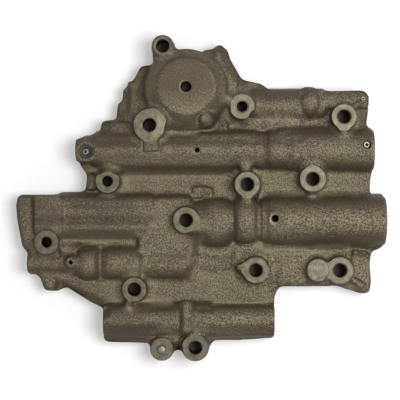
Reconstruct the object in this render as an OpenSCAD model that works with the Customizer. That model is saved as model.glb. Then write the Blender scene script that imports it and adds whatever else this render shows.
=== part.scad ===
// Control valve body of a car's automatic gearbox, in mm, +Z up.
// The machined face lies at z = 0 with the oil channels cut up into it.
// The rough cast side faces up: ridges over the valve bores, bolt bosses, an accumulator dome.

/* [Casting] */
// Overall length along X
body_l = 222; // [216:1:232]
// Overall width along Y
body_w = 196; // [192:1:206]
// Thickness of the floor between the ridges
floor_t = 13.5; // [12.5:0.5:15]
// Sideways growth of a ridge flank per mm of height
draft = 0.14; // [0.08:0.01:0.2]

/* [Bolt bosses] */
// Hole of the ten large bolts
bolt_d = 8; // [7:0.1:8.6]
// Hole of the three small bolts
small_bolt_d = 6.5; // [5.5:0.1:7.2]
// Rough rim left round each spot face
boss_rim = 0.7; // [0.4:0.1:1.2]
// Depth of a spot face below the boss rim
spot_depth = 0.5; // [0.3:0.1:0.9]

/* [Oil channels] */
// Width of a channel
channel_w = 5.4; // [4.4:0.1:5.8]
// Depth of a channel
channel_d = 9.6; // [9.2:0.1:10.2]

/* [Bores] */
// Running clearance of a valve in its bore, on the radius
run_gap = 0.03; // [0.01:0.01:0.06]
// Seating gap of a part that is pressed or held still
seat_gap = 0.01; // [0.01:0.01:0.03]
// Bore of the 1-2 shift train
b12_d = 17; // [15:0.5:18]
// Iron from that bore to the ridge crest
b12_wall = 5.9; // [5:0.1:6.6]
// Bore of the 2-3 shift train
b23_d = 14; // [13:0.5:15]
// Iron from that bore to the ridge crest
b23_wall = 5; // [4:0.1:5.6]
// Bore of the detent train
bdt_d = 12; // [11:0.5:12.6]
// Iron from that bore to the ridge crest
bdt_wall = 4.2; // [3.6:0.1:5]
// Bore of the 3-2 valve
b32_d = 6.4; // [6:0.1:7]
// Iron from that bore to the ridge crest
b32_wall = 3.7; // [3:0.1:4.2]
// Bore of the 1-2 accumulator valve
bav_d = 7.6; // [7:0.2:8.2]
// Iron from that bore to the ridge crest
bav_wall = 2.8; // [2.4:0.1:3.2]
// Bore of the manual valve
bmv_d = 13; // [12:0.5:13.6]
// Iron from that bore to the ridge crest
bmv_wall = 3.7; // [3.2:0.1:4.4]

/* [Valves] */
// Length of the 1-2 shift valve
v12_l = 28; // [24:0.5:31]
// Length of the 1-2 detent valve
v12_detent_l = 22; // [18:0.5:25]
// Length of the 1-2 regulator valve
v12_reg_l = 22; // [19:0.5:23]
// Length of the 1-2 bushing
bush12_l = 25; // [24:0.5:28]
// Length of the 2-3 shift valve
v23_l = 19; // [17:0.5:20]
// Length of the 2-3 modulator valve
v23_mod_l = 16; // [14:0.5:17]
// Length of the 2-3 bushing
bush23_l = 24; // [23:0.5:25]
// Length of the 3-2 valve
v32_l = 17; // [14:0.5:20]
// Length of the 3-2 spacer
v32_spacer_l = 7; // [5:0.5:9]
// Length of the detent valve
detent_l = 40; // [36:0.5:43]
// Length of the detent regulator valve
detent_reg_l = 28; // [24:0.5:31]
// Length of the 1-2 accumulator valve
av_l = 21; // [18:0.5:23]
// Length of the manual valve
manual_l = 92; // [88:1:96]
// Neck of a valve between its lands, as a share of the land diameter
neck_share = 0.55; // [0.45:0.05:0.65]

/* [Springs] */
// Wire of the valve springs, as a share of the bore diameter
wire_share = 0.09; // [0.07:0.01:0.11]
// Wire of the accumulator spring
acc_wire = 2; // [1.6:0.1:2.2]

/* [Pins and plugs] */
// Retaining pin of the shift trains
pin_d = 4; // [3:0.1:4.4]
// Retaining pin of the small bores
small_pin_d = 2.6; // [2:0.1:3]
// Length of a bore plug
plug_l = 16; // [14.5:0.5:18]
// Locating dowel beside the bottom lug
dowel_d = 5; // [4:0.1:5.6]

/* [Accumulator] */
// Pocket of the accumulator piston
pocket_d = 39; // [36:0.5:40]
// Depth of the pocket
pocket_h = 22; // [21:0.5:23]
// Dome roof over the pocket
roof_t = 6; // [5:0.5:7]
// Pin that guides the piston
acc_pin_d = 6.6; // [6:0.1:7]
// Height of the piston
piston_h = 6; // [5.4:0.1:7]
// Height of the piston ring
ring_h = 1.9; // [1.6:0.1:2.2]

/* [Hidden] */
sx = body_l / 222;
sy = body_w / 196;
$fn = 64;
// Height that every upward cut reaches
cut_top = 40;

// Train lengths at this casting's length
l12 = v12_l * sx;
l12_detent = v12_detent_l * sx;
l12_reg = v12_reg_l * sx;
l12_bush = bush12_l * sx;
l23 = v23_l * sx;
l23_mod = v23_mod_l * sx;
l23_bush = bush23_l * sx;
l32 = v32_l * sx;
l32_spacer = v32_spacer_l * sx;
ldt = detent_l * sx;
ldt_reg = detent_reg_l * sx;
lav = av_l * sx;
lmv = manual_l * sx;
lplug = plug_l * sx;

// Axis of each bore: Y, Z, closed end X, mouth X
y12 = -13.6 * sy;
z12 = 15;
in12 = 2 * sx;
out12 = 110.7 * sx;
y23 = 28.8 * sy;
z23 = 14.5;
in23 = 40 * sx;
out23 = 103.7 * sx;
indt = 36 * sx;
outdt = -74.9 * sx;
y32 = 58.2 * sy;
z32 = 12.5;
in32 = 40 * sx;
out32 = 100.9 * sx;
yav = -38.4 * sy;
zav = 12.5;
inav = -33 * sx;
outav = -103.9 * sx;
ymv = -73.2 * sy;
zmv = 14.5;
leftmv = -58.2 * sx;
rightmv = 44.2 * sx;

// Crest radius of the ridge over each bore
r12 = b12_d / 2 + b12_wall;
r23 = b23_d / 2 + b23_wall;
rdt = bdt_d / 2 + bdt_wall;
r32 = b32_d / 2 + b32_wall;
rav = bav_d / 2 + bav_wall;
rmv = bmv_d / 2 + bmv_wall;

// Rounded end of the detent ridge, and the eye on it that holds the pin
end_r = 11.6;
eye_r = 6.3;
eye_top = z23 + rdt - 1.1;

// Accumulator, from the pocket centre
acc = [-8.6 * sx, 66 * sy];
pocket_r = pocket_d / 2;
dome_top = pocket_h + roof_t;
hub_z = pocket_h - 7;
knob = [4.2, 45.8];
knob_r = 4.1;
knob_top = dome_top - 1.2;
clip_z = 2.6;
clip_t = 0.7;
piston_z = clip_z + clip_t + 0.05;
web_z = piston_z + 1.8;

// Bolts: x, y, large, face height, boss radius, tail angle, tail length
bolts = [
  [-22.5, 90.5, 1, 23.5, 5.9, 0, 0],
  [-30.4, 43.4, 1, 25.4, 9.8, 0, 0],
  [24.8, 54.4, 0, 24.2, 7.8, 150, 11],
  [85.4, 48.4, 1, 24.6, 7.8, 270, 11],
  [-55.4, 10, 0, 22.4, 7.4, 0, 0],
  [27.8, 8.1, 1, 24.4, 7.9, 270, 11],
  [66.8, 11.3, 1, 24.8, 8.1, 270, 10.4],
  [-8.6, -13.2, 1, 25, 8.1, 318, 11],
  [-91.7, -26.4, 0, 22.9, 7.5, 0, 0],
  [32.9, -43, 1, 23.7, 8.1, 170, 11.5],
  [83.1, -43.1, 1, 23.3, 8.3, 0, 0],
  [-39.4, -54.5, 1, 23.1, 7.6, 0, 0],
  [-3.1, -89.3, 1, 21.6, 7.4, 0, 0]
];
blank_pad = [70.1, -43, 22.6, 6.5];
dowel_at = [-23.1 * sx, -90.3 * sy];
dowel_top = 21.5;

// Pins: x, y
pin12 = [out12 - 5.2, y12];
pin23 = [out23 - 4.8, y23 + 2.9];
pin32 = [out32 - 3.6, y32 + 1.2];
pindt = [outdt + 6.6, y23 - 1.2];
pinav = [-77.3 * sx, yav];

// Stations of each train along X
bush12_x = out12 - 1.7 - l12_bush;
reg12_x = bush12_x - 6.9;
v12_x = in12 + 3;
detent12_x = v12_x + l12 + 0.05;
bush23_x = out23 - 1.7 - l23_bush;
mod23_x = bush23_x - 10;
v23_x = in23 + 1.5;
plug32_x = out32 - 1.4 - lplug * 0.6;
spacer32_x = plug32_x - 0.05 - l32_spacer;
v32_x = in32 + 1;
regdt_x = indt - 1 - ldt_reg;
valvedt_x = regdt_x - 0.05 - ldt;
plugdt_x = outdt + 2.4;
avalve_x = inav - 1 - lav;
plugav_x = pinav[0] - lplug * 0.7;
manual_x = -50 * sx;

// Outline of the casting floor, clockwise: x, y, corner radius
outline = [
  [-23.1, 90, 0], [-14.7, 88.7, 0], [-6.3, 88.5, 0], [0.4, 87.2, 0.6], [2.4, 89, 0.8],
  [7.2, 89.6, 1], [11.7, 93, 3], [16.4, 88.6, 2], [18, 83.4, 0],
  [25, 71.2, 3], [36.6, 68.6, 2], [42, 64.7, 3], [59.6, 65.3, 1],
  [62.5, 66.8, 1], [67, 66.8, 1], [71, 64.2, 1], [101.4, 64.8, 4.5],
  [100.8, 51.6, 0], [99.6, 43.4, 1], [103, 41.4, 2.5], [104.1, 28.8, 0],
  [103.2, 16.8, 0], [102, 10.8, 0], [101.7, 2, 2], [109, 1.2, 3.5],
  [111, -13, 0], [110.6, -26, 2], [108.6, -30, 2.5], [102.8, -32.2, 2],
  [101.7, -39.6, 0], [102.6, -50.4, 0], [101.8, -57.4, 4.5], [96.2, -57.4, 2],
  [82, -53, 2], [47, -53.3, 3], [44.3, -60, 2], [44.4, -80, 0],
  [43.8, -84, 2.5], [23.7, -85.5, 0], [8.4, -85.5, 1.5], [4.6, -90, 0],
  [-12, -91.6, 0], [-23.4, -90.6, 0], [-31, -87.2, 1], [-53.1, -86.7, 0],
  [-58.2, -86.2, 3.5], [-58.5, -74, 0], [-57.8, -66.6, 1.5], [-66.3, -62.4, 0],
  [-80.7, -53.4, 2], [-86, -56, 2], [-93.6, -55.6, 3], [-96.8, -47.4, 2],
  [-103.2, -43.8, 3], [-104.3, -38, 1.5], [-103.5, -33.8, 1], [-107.2, -29, 1],
  [-108.8, -21, 0], [-110.4, -12.6, 0], [-111, -4, 0], [-109.6, 2, 3],
  [-84.3, 2.1, 0], [-69.2, 4.2, 1.2], [-68.2, 14, 1.5], [-71.4, 18.4, 0],
  [-75.3, 26.6, 3], [-74.9, 32.8, 3], [-66.6, 38, 3], [-60.5, 38.1, 0.8],
  [-59.6, 46.4, 3.5], [-50.8, 47.2, 1], [-49.7, 56.6, 2], [-46.9, 58.6, 1],
  [-46.6, 65, 2], [-40.9, 69.7, 1], [-36, 79.2, 3], [-28.9, 80.2, 1]
];

// Cast ridges along X without a bore of their own: x0, x1, y, axis z, radius, left nose, right nose
ridges = [
  [20.4, 33.2, -13.4, 15, 13.5, 1.5, 1.5],
  [-4.8, 19.2, -13.9, 14.4, 11.3, 0, 1.6],
  [32.6, 38.6, 28.6, 14.6, 11, 0.8, 0.8],
  [39.6, 53, 28.9, 14.4, 11.3, 0.8, 0],
  [-58.4, -33.6, -39, 12.2, 10, 2.4, 3],
  [-34, -5.2, -41.4, 12, 7.7, 0, 3],
  [18, 75.6, 56, 12, 8.1, 0, 2],
  [-85, -24, -3.6, 14.6, 5.8, 0, 5],
  [-86, -22, -10.2, 15.2, 4.8, 0, 4],
  [-86, -27, -17, 14.2, 6, 0, 5]
];
// Round swells over the ends of two ridges: x, y, centre z, radius
swells = [[65.6, 57.2, 12.1, 9.7], [-67, -39, 11.9, 11.2]];
// Post across the manual valve's ridge: y0, y1, x, axis z, radius, nose
post = [-80.6, -60.8, -8.6, 21.4, 5, 2];

// Cast pads: top height, corner points
pads = [
  [20.7, [[-99.7, 1.6], [-83.6, 1.4], [-83.9, -36], [-97.4, -35.4], [-99.4, -20]]],
  [16.3, [[-109.6, 0.6], [-99, 1], [-99, -33.4], [-105.6, -29], [-109.2, -12]]],
  [19, [[-85, 1], [-8, -1.6], [-1.2, -24], [-5.4, -37], [-36.6, -36.6], [-37.4, -20.8], [-85, -20.4]]],
  [17.1, [[-22, 48], [15, 48], [17, 40.2], [-22.6, 38]]],
  [16.4, [[4, 84], [11.7, 92.2], [16.1, 88], [17.4, 82], [23.4, 71.6], [20, 60], [8, 60]]],
  [15, [[24, 52], [60, 50], [60.4, 41.2], [22, 41.6]]],
  [18.9, [[70, 63.9], [97, 64.3], [100.8, 61], [100.5, 54.2], [74, 54.4]]],
  [16, [[-4.7, 5.2], [-3.2, 6.8], [5.6, 6.4], [7.2, 5], [7.4, 0], [-4.8, 0]]],
  [14.7, [[-7, -27], [21, -26], [21.4, -42.4], [-6, -44]]],
  [15.6, [[-97.2, -40], [-87, -39.4], [-86.6, -55], [-92.6, -54.8], [-96, -47]]],
  [16.1, [[91.6, -30], [101.2, -33], [101.9, -50], [100.6, -55.8], [97, -56.4], [90.4, -50]]],
  [14.3, [[47, -32], [62.4, -31], [62.2, -52], [47.6, -52.2]]],
  [16.9, [[-59, 45.8], [-36, 45], [-36, 34], [-60, 37.4]]],
  [18, [[-67.6, 5], [-50, 5.6], [-48, 17], [-66.6, 14]]],
  [25.3, [[-34.2, 43], [-24.8, 43], [-24.6, 27.6], [-33.8, 27.6]]],
  [21.4, [[-29, 90.4], [-28.2, 80], [-22, 72], [-8, 80], [-13.4, 88.4], [-16, 90.2]]]
];

// Narrow cast ribs: start x and y, end x and y, width, top height
ribs = [
  [90, 52.6, 96.8, 59.2, 4, 19.9],
  [88, -47, 97.6, -53, 4.6, 18.6],
  [-40.6, -56, -45.2, -69.4, 5, 22.6],
  [-41.6, 47, -41, 70, 4.4, 15],
  [11.4, 87.6, 9, 74, 6.6, 18.2]
];

// Channels in the machined face, along Y: x, y0, y1
y_channels = [
  [10, -26, 14], [44, -44, 0], [54, -30, 11.6], [78.4, -30, 16], [90, -34, 5], [100, -25, -6],
  [47, 16, 41.6], [58.6, 21, 42.6], [70, 22.6, 43], [79.4, 22, 37], [92, 8, 36.6],
  [-64, 22, 33], [-52, 20.6, 41], [-42, -3.4, 36], [-30, 5, 33], [-18, -3.4, 39], [-6.4, 5, 40.4],
  [6.6, 20.6, 40], [18, 18.4, 46], [29.6, 18.6, 45],
  [46.6, 52, 58], [58.6, 52.4, 58], [70, 53, 58], [95.4, 46.6, 57],
  [-49, -79, -62], [-37.4, -79, -64.8], [-25, -79, -50], [-13, -79, -59], [-1, -78, -36],
  [12, -79, -52], [23, -79, -36], [35, -78, -59],
  [-84, -48, -34], [-73, -50, -28.4], [-62, -56, -29], [-51.6, -62, -29], [-41, -44.6, -20.6], [-30, -40, -27.5]
];
// Channels along X: y, x0, x1
x_channels = [
  [-3.4, -100, -18], [-12, -103, -22], [-20.6, -80, -41], [-27.5, -30, 0],
  [44.6, -52, -43], [16, 78.4, 84], [-47.5, 53, 66], [-38.5, 53, 72],
  [-50, -25, -12], [-36, -1, 14], [5, -30, -6.4], [-62, -51.6, -49], [-52, 12, 23]
];

// Rounding of an outline: every corner is cut back to an arc of its own radius
function unit(v) = v / norm(v);
function turn(a) = a > 180 ? a - 360 : (a < -180 ? a + 360 : a);
function arc_points(a, b, c, r) =
  let (u = unit(a - b), v = unit(c - b), half = acos(u * v) / 2)
  let (t = min(r / tan(half), 0.48 * norm(a - b), 0.48 * norm(c - b)))
  let (m = b + unit(u + v) * t / cos(half))
  let (p = b + u * t - m, q = b + v * t - m)
  let (g = atan2(p[1], p[0]), s = turn(atan2(q[1], q[0]) - g))
  [for (k = [0:3]) m + norm(p) * [cos(g + s * k / 3), sin(g + s * k / 3)]];
function place(p) = [p[0] * sx, p[1] * sy];
function rounded(list) = [
  for (i = [0:len(list) - 1])
    let (n = len(list), b = place(list[i]))
    each list[i][2] == 0 ? [b]
      : arc_points(place(list[(i + n - 1) % n]), b, place(list[(i + 1) % n]), list[i][2])
];

// Round bar along X, and along Z
module xbar(x0, x1, r) {
  translate([x0, 0, 0])
    rotate([0, 90, 0])
      cylinder(h = x1 - x0, r = r);
}

module zbar(p, z0, z1, r) {
  translate([p[0], p[1], z0])
    cylinder(h = z1 - z0, r = r);
}

// Cast ridge along X: round crest on flanks that lean outwards to the floor
// A nose tapers the crest at an end, and starts a little inside the flat end of the ridge
module ridge(x0, x1, y, z, r, foot, nose0 = 0, nose1 = 0) {
  lap = 0.15;
  translate([x0 + nose0, y, 0])
    rotate([90, 0, 90])
      linear_extrude(height = x1 - x0 - nose0 - nose1) {
        translate([0, z])
          circle(r = r);
        polygon([[-r - draft * (z - foot), foot], [r + draft * (z - foot), foot],
                 [r * 0.96, z + r * 0.2], [-r * 0.96, z + r * 0.2]]);
      }
  if (nose0 > 0)
    translate([x0, y, z])
      rotate([0, 90, 0])
        cylinder(h = nose0 + 3 * lap, r1 = r - 0.8 * nose0, r2 = r - lap);
  if (nose1 > 0)
    translate([x1 - nose1 - 3 * lap, y, z])
      rotate([0, 90, 0])
        cylinder(h = nose1 + 3 * lap, r1 = r - lap, r2 = r - 0.8 * nose1);
}

// Bolt boss: a cone with draft, and a pointed tail on some of them
module boss(b, foot) {
  p = place(b);
  top = b[3] + spot_depth;
  r = b[4] + boss_rim;
  translate([p[0], p[1], foot])
    cylinder(h = top - foot, r1 = r + draft * 0.25 * (top - foot), r2 = r);
  if (b[6] > 0)
    translate([p[0], p[1], foot + 0.15])
      rotate(b[5])
        linear_extrude(height = top - foot - 0.45)
          polygon([[0, -r * 0.96], [r * 0.5, -r * 0.84], [b[6], -1.2], [b[6], 1.2], [r * 0.5, r * 0.84],
                   [0, r * 0.96]]);
}

module rib(b, foot) {
  a = place(b);
  c = place([b[2], b[3]]);
  l = norm(c - a);
  translate([a[0], a[1], foot])
    rotate([90, 0, atan2(c[1] - a[1], c[0] - a[0]) + 90])
      linear_extrude(height = l)
        polygon([[-b[4] * 0.75, 0], [b[4] * 0.75, 0], [b[4] * 0.3, b[5] - foot], [-b[4] * 0.3, b[5] - foot]]);
}

// Accumulator dome: wall, sloping shoulder, flat top, and a small knob at its foot
module dome() {
  translate([acc[0], acc[1] - 1.6, 1.3])
    cylinder(h = dome_top - 5.9, r1 = pocket_r + 5.7, r2 = pocket_r + 4.9);
  translate([acc[0], acc[1] - 1.3, dome_top - 4.9])
    cylinder(h = 3.5, r1 = pocket_r + 4.4, r2 = pocket_r - 0.7);
  translate([acc[0] + 0.3, acc[1] - 0.7, dome_top - 1.9])
    cylinder(h = 1.9, r1 = pocket_r - 1, r2 = pocket_r - 1.8);
  zbar(place(knob), 4.1, knob_top - 1.6, knob_r);
  translate([knob[0] * sx, knob[1] * sy, knob_top - 1.8])
    cylinder(h = 1.8, r1 = knob_r - 0.2, r2 = knob_r - 1.6);
}

module raw_casting() {
  linear_extrude(height = floor_t)
    polygon(rounded(outline));
  dome();
  ridge(36.4 * sx, out12, y12, z12, r12, 0.6, 2.4, 0);
  ridge(18 * sx, 38.4 * sx, y12, z12 - 0.6, r12 - 3.2, 0.65);
  ridge(-4 * sx, 37.4 * sx, y12, z12 - 0.6, r12 - 3.9, 0.7);
  ridge(52 * sx, out23, y23, z23, r23, 0.8);
  ridge(outdt + 6, 53.6 * sx, y23, z23, rdt, 0.9, 5, 0);
  intersection() {
    ridge(outdt, outdt + 14, y23, z23, rdt - 2.6, 0.95);
    zbar([outdt + end_r - 0.4, y23 - 0.6], 0.2, cut_top, end_r);
  }
  zbar(pindt, 4.6, eye_top, eye_r);
  ridge(17.4 * sx, 75 * sx, y32, z32, r32, 1);
  ridge(outav, -32 * sx, yav, zav, rav, 1.1);
  ridge(leftmv, 0, ymv, zmv, rmv - 0.9, 1.2);
  ridge(-9 * sx, rightmv, ymv, zmv, rmv, 1.25, 2, 0);
  for (i = [0:len(ridges) - 1])
    ridge(ridges[i][0] * sx, ridges[i][1] * sx, ridges[i][2] * sy, ridges[i][3], ridges[i][4], 1.4 + 0.11 * i,
          ridges[i][5], ridges[i][6]);
  for (b = swells)
    translate([b[0] * sx, b[1] * sy, b[2]])
      sphere(r = b[3]);
  rotate(90)
    ridge(post[0] * sy, post[1] * sy, -post[2] * sx, post[3], post[4], 2.83, post[5], post[5]);
  for (i = [0:len(bolts) - 1])
    boss(bolts[i], 2.9 + 0.13 * i);
  zbar(place(blank_pad), 4.8, blank_pad[2] + spot_depth, blank_pad[3] + boss_rim);
  translate([dowel_at[0], dowel_at[1], 0.5])
    cylinder(h = dowel_top - 2.5, r1 = 7.54, r2 = 7.1);
  for (i = [0:len(pads) - 1])
    translate([0, 0, 5 + 0.12 * i])
      linear_extrude(height = pads[i][0] - 5 - 0.12 * i)
        polygon([for (p = pads[i][1]) place(p)]);
  for (i = [0:len(ribs) - 1])
    rib(ribs[i], 7 + 0.1 * i);
  zbar(pinav, 6, zav + rav + 2.6, 3.6);
}

module bores() {
  translate([0, y12, z12])
    xbar(in12, out12 + 4, b12_d / 2);
  translate([0, y23, z23])
    xbar(in23, out23 + 4, b23_d / 2);
  translate([0, y23, z23])
    xbar(outdt - 4, indt, bdt_d / 2);
  translate([0, y32, z32])
    xbar(in32, out32 + 4, b32_d / 2);
  translate([0, yav, zav])
    xbar(outav - 4, inav, bav_d / 2);
  translate([0, ymv, zmv])
    xbar(leftmv - 4, rightmv + 4, bmv_d / 2);
}

module channels() {
  w = channel_w;
  translate([0, 0, -1])
    linear_extrude(height = channel_d + 1) {
      for (c = y_channels) {
        translate([c[0] * sx - w / 2, c[1] * sy])
          square([w, (c[2] - c[1]) * sy]);
        translate([c[0] * sx, c[1] * sy])
          circle(d = w + 0.3);
        translate([c[0] * sx, c[2] * sy])
          circle(d = w + 0.3);
      }
      for (c = x_channels) {
        translate([c[1] * sx, c[0] * sy - w / 2])
          square([(c[2] - c[1]) * sx, w]);
        translate([c[1] * sx, c[0] * sy])
          circle(d = w + 0.4);
        translate([c[2] * sx, c[0] * sy])
          circle(d = w + 0.4);
      }
    }
}

// The casting: raw iron, then every machined cut
module casting() {
  color([0.4, 0.37, 0.31])
    difference() {
      raw_casting();
      for (b = bolts) {
        zbar(place(b), -1, cut_top, (b[2] == 1 ? bolt_d : small_bolt_d) / 2);
        zbar(place(b), b[3], cut_top, b[4]);
      }
      zbar(place(blank_pad), blank_pad[2], cut_top, blank_pad[3]);
      bores();
      channels();
      // Accumulator pocket with a hub left round the guide pin
      difference() {
        zbar(acc, -1, pocket_h, pocket_r);
        zbar(acc, hub_z, pocket_h + 1, acc_pin_d / 2 + 2.4);
      }
      zbar(acc, 10, cut_top, acc_pin_d / 2);
      translate([acc[0], acc[1], dome_top - 0.9])
        cylinder(h = 2, r1 = acc_pin_d / 2 - 0.1, r2 = acc_pin_d / 2 + 2);
      // Retaining pin holes: the 1-2 one is blind, the others come through
      zbar(pin12, -1, z12 + b12_d / 2 + 2.5, pin_d / 2);
      zbar(pin23, -1, cut_top, pin_d / 2);
      zbar(pin23, z23 + r23 - 2, cut_top, pin_d / 2 + 0.6);
      zbar(pin32, -1, cut_top, small_pin_d / 2);
      zbar(pindt, -1, cut_top, pin_d / 2);
      zbar(pindt, eye_top - 1.3, cut_top, eye_r - 1.6);
      zbar(pinav, -1, cut_top, small_pin_d / 2);
      // Vents into the bores
      zbar([44.2 * sx, y12 + 1.4], z12, cut_top, 2.2);
      zbar([44.2 * sx, y12 + 1.4], z12 + r12 - 0.6, cut_top, 3.2);
      zbar([-1.9 * sx, y23 - 0.3], z23, cut_top, 1.5);
      // Dowel hole
      zbar(dowel_at, 6, cut_top, dowel_d / 2);
    }
}

module locating_dowel() {
  color([0.75, 0.74, 0.7])
    translate([dowel_at[0], dowel_at[1], 6 + seat_gap]) {
      cylinder(h = dowel_top - 6.6, d = dowel_d - 2 * seat_gap);
      translate([0, 0, dowel_top - 6.6])
        cylinder(h = 0.6, d1 = dowel_d - 2 * seat_gap, d2 = dowel_d - 1.2);
    }
}

// Spool along X: a neck with lands on it, each land given by start and end as shares of the length
module spool(x, l, r, lands) {
  xbar(x, x + l, r * neck_share);
  for (s = lands)
    xbar(x + s[0] * l, x + s[1] * l, r);
}

// Coil spring along +Z from the origin: closed end turns, six-sided wire
function coil_z(t, turns, l, w) =
  t < 1 ? w / 2 + t * w
    : t > turns - 1 ? l - w / 2 - (turns - t) * w
    : w * 1.5 + (t - 1) * (l - 3 * w) / (turns - 2);
module coil(l, r, w, turns) {
  steps = turns * 12;
  sides = 6;
  points = [
    for (i = [0:steps])
      let (t = i / 12, a = 360 * t, h = coil_z(t, turns, l, w))
      for (k = [0:sides - 1])
        let (e = 360 * k / sides)
        [(r + w / 2 * cos(e)) * cos(a), (r + w / 2 * cos(e)) * sin(a), h + w / 2 * sin(e)]
  ];
  tube = [
    for (i = [0:steps - 1])
      for (k = [0:sides - 1])
        [i * sides + k, (i + 1) * sides + k, (i + 1) * sides + (k + 1) % sides, i * sides + (k + 1) % sides]
  ];
  first = [for (k = [0:sides - 1]) k];
  last = [for (k = [0:sides - 1]) steps * sides + sides - 1 - k];
  polyhedron(points = points, faces = concat(tube, [first], [last]), convexity = 8);
}
module xcoil(x0, x1, r, w, turns) {
  translate([x0 + 0.02, 0, 0])
    rotate([0, 90, 0])
      coil(x1 - x0 - 0.04, r, w, turns);
}

// Slotted spring pin standing on z0
module spring_pin(p, z0, z1, d) {
  translate([p[0], p[1], z0])
    difference() {
      cylinder(h = z1 - z0, d = d - 2 * seat_gap);
      translate([0, 0, -1])
        cylinder(h = z1 - z0 + 2, d = d * 0.5);
      translate([0, -d * 0.07, -1])
        cube([d, d * 0.14, z1 - z0 + 2]);
    }
}

// Bushing along X: blind bore from its inner end, cross hole for the pin in the solid end
module bushing(x, l, r, inner_r, depth, p) {
  difference() {
    xbar(x, x + l, r);
    xbar(x - 1, x + depth, inner_r);
    translate([p[0], p[1], -cut_top])
      cylinder(h = 2 * cut_top, d = pin_d + 2 * seat_gap);
  }
}

// Solid bore plug along X with a cross hole for its pin
module bore_plug(x, l, r, p, d) {
  difference() {
    xbar(x, x + l, r);
    translate([p[0], p[1], -cut_top])
      cylinder(h = 2 * cut_top, d = d + 2 * seat_gap);
  }
}

module manual_valve() {
  color([0.62, 0.63, 0.65])
    translate([0, ymv, zmv])
      difference() {
        spool(manual_x, lmv, bmv_d / 2 - run_gap,
              [[0, 0.16], [0.27, 0.36], [0.52, 0.6], [0.72, 0.84], [0.9, 0.935], [0.972, 1]]);
        xbar(manual_x - 1, manual_x + 9, bmv_d * 0.14);
      }
}

module shift_12_valve() {
  color([0.66, 0.67, 0.68])
    translate([0, y12, z12]) {
      spool(v12_x, l12, b12_d / 2 - run_gap, [[0, 0.26], [0.44, 0.6], [0.8, 1]]);
      xbar(in12 + 0.05, v12_x + 1, b12_d * 0.2);
    }
}

module shift_12_detent_valve() {
  color([0.6, 0.61, 0.62])
    translate([0, y12, z12])
      difference() {
        spool(detent12_x, l12_detent, b12_d / 2 - run_gap, [[0.12, 0.4], [0.64, 1]]);
        xbar(detent12_x + l12_detent - 4, detent12_x + l12_detent + 1, b12_d * 0.2);
      }
}

module shift_12_spring() {
  color([0.5, 0.5, 0.52])
    translate([0, y12, z12])
      xcoil(detent12_x + l12_detent, reg12_x, b12_d * 0.33, b12_d * wire_share, 7);
}

module shift_12_regulator_valve() {
  color([0.66, 0.67, 0.68])
    translate([0, y12, z12]) {
      xbar(reg12_x, reg12_x + 2.4, b12_d * 0.43);
      xbar(reg12_x + 2, reg12_x + l12_reg * 0.62, b12_d * 0.22);
      xbar(reg12_x + l12_reg * 0.6, reg12_x + l12_reg, b12_d * 0.31);
    }
}

module shift_12_bushing() {
  color([0.7, 0.68, 0.62])
    translate([0, y12, z12])
      bushing(bush12_x, l12_bush, b12_d / 2 - seat_gap, b12_d * 0.31 + run_gap,
              l12_reg - 3.2, [pin12[0], 0]);
}

module shift_12_retaining_pin() {
  color([0.72, 0.72, 0.7])
    spring_pin(pin12, 1.2, z12 + b12_d / 2 + 2, pin_d);
}

module shift_23_valve() {
  color([0.66, 0.67, 0.68])
    translate([0, y23, z23]) {
      spool(v23_x, l23, b23_d / 2 - run_gap, [[0, 0.24], [0.42, 0.58], [0.74, 1]]);
      xbar(in23 + 0.05, v23_x + 1, b23_d * 0.2);
    }
}

module shift_23_intermediate_spring() {
  color([0.5, 0.5, 0.52])
    translate([0, y23, z23])
      xcoil(v23_x + l23, mod23_x, b23_d * 0.28, b23_d * wire_share * 0.8, 4);
}

module shift_23_modulator_valve() {
  color([0.6, 0.61, 0.62])
    translate([0, y23, z23]) {
      xbar(mod23_x, mod23_x + 2, b23_d * 0.44);
      xbar(mod23_x + 1.6, mod23_x + l23_mod, b23_d * 0.32);
    }
}

module shift_23_spring() {
  color([0.5, 0.5, 0.52])
    translate([0, y23, z23])
      xcoil(mod23_x + 2, bush23_x, b23_d * 0.395, b23_d * wire_share * 0.8, 4);
}

module shift_23_bushing() {
  color([0.7, 0.68, 0.62])
    translate([0, y23, z23])
      bushing(bush23_x, l23_bush, b23_d / 2 - seat_gap, b23_d * 0.32 + run_gap,
              l23_mod - 5, [pin23[0], pin23[1] - y23]);
}

module shift_23_retaining_pin() {
  color([0.72, 0.72, 0.7])
    spring_pin(pin23, 2, z23 + r23 - 2.6, pin_d);
}

module valve_32() {
  color([0.66, 0.67, 0.68])
    translate([0, y32, z32]) {
      spool(v32_x, l32, b32_d / 2 - run_gap, [[0, 0.3], [0.62, 1]]);
      xbar(in32 + 0.05, v32_x + 1, b32_d * 0.25);
    }
}

module valve_32_spring() {
  color([0.5, 0.5, 0.52])
    translate([0, y32, z32])
      xcoil(v32_x + l32, spacer32_x, b32_d * 0.36, b32_d * wire_share * 1.4, 9);
}

module valve_32_spacer() {
  color([0.62, 0.62, 0.62])
    translate([0, y32, z32])
      xbar(spacer32_x, spacer32_x + l32_spacer, b32_d / 2 - seat_gap);
}

module valve_32_plug() {
  color([0.7, 0.68, 0.62])
    translate([0, y32, z32])
      bore_plug(plug32_x, lplug * 0.6, b32_d / 2 - seat_gap, [pin32[0], pin32[1] - y32], small_pin_d);
}

module valve_32_retaining_pin() {
  color([0.72, 0.72, 0.7])
    spring_pin(pin32, 2, z32 + r32 - 0.8, small_pin_d);
}

module detent_valve() {
  color([0.66, 0.67, 0.68])
    translate([0, y23, z23])
      difference() {
        spool(valvedt_x, ldt, bdt_d / 2 - run_gap, [[0, 0.2], [0.34, 0.48], [0.62, 0.74], [0.86, 0.97]]);
        xbar(valvedt_x - 1, valvedt_x + 5, bdt_d * 0.2);
      }
}

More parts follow.
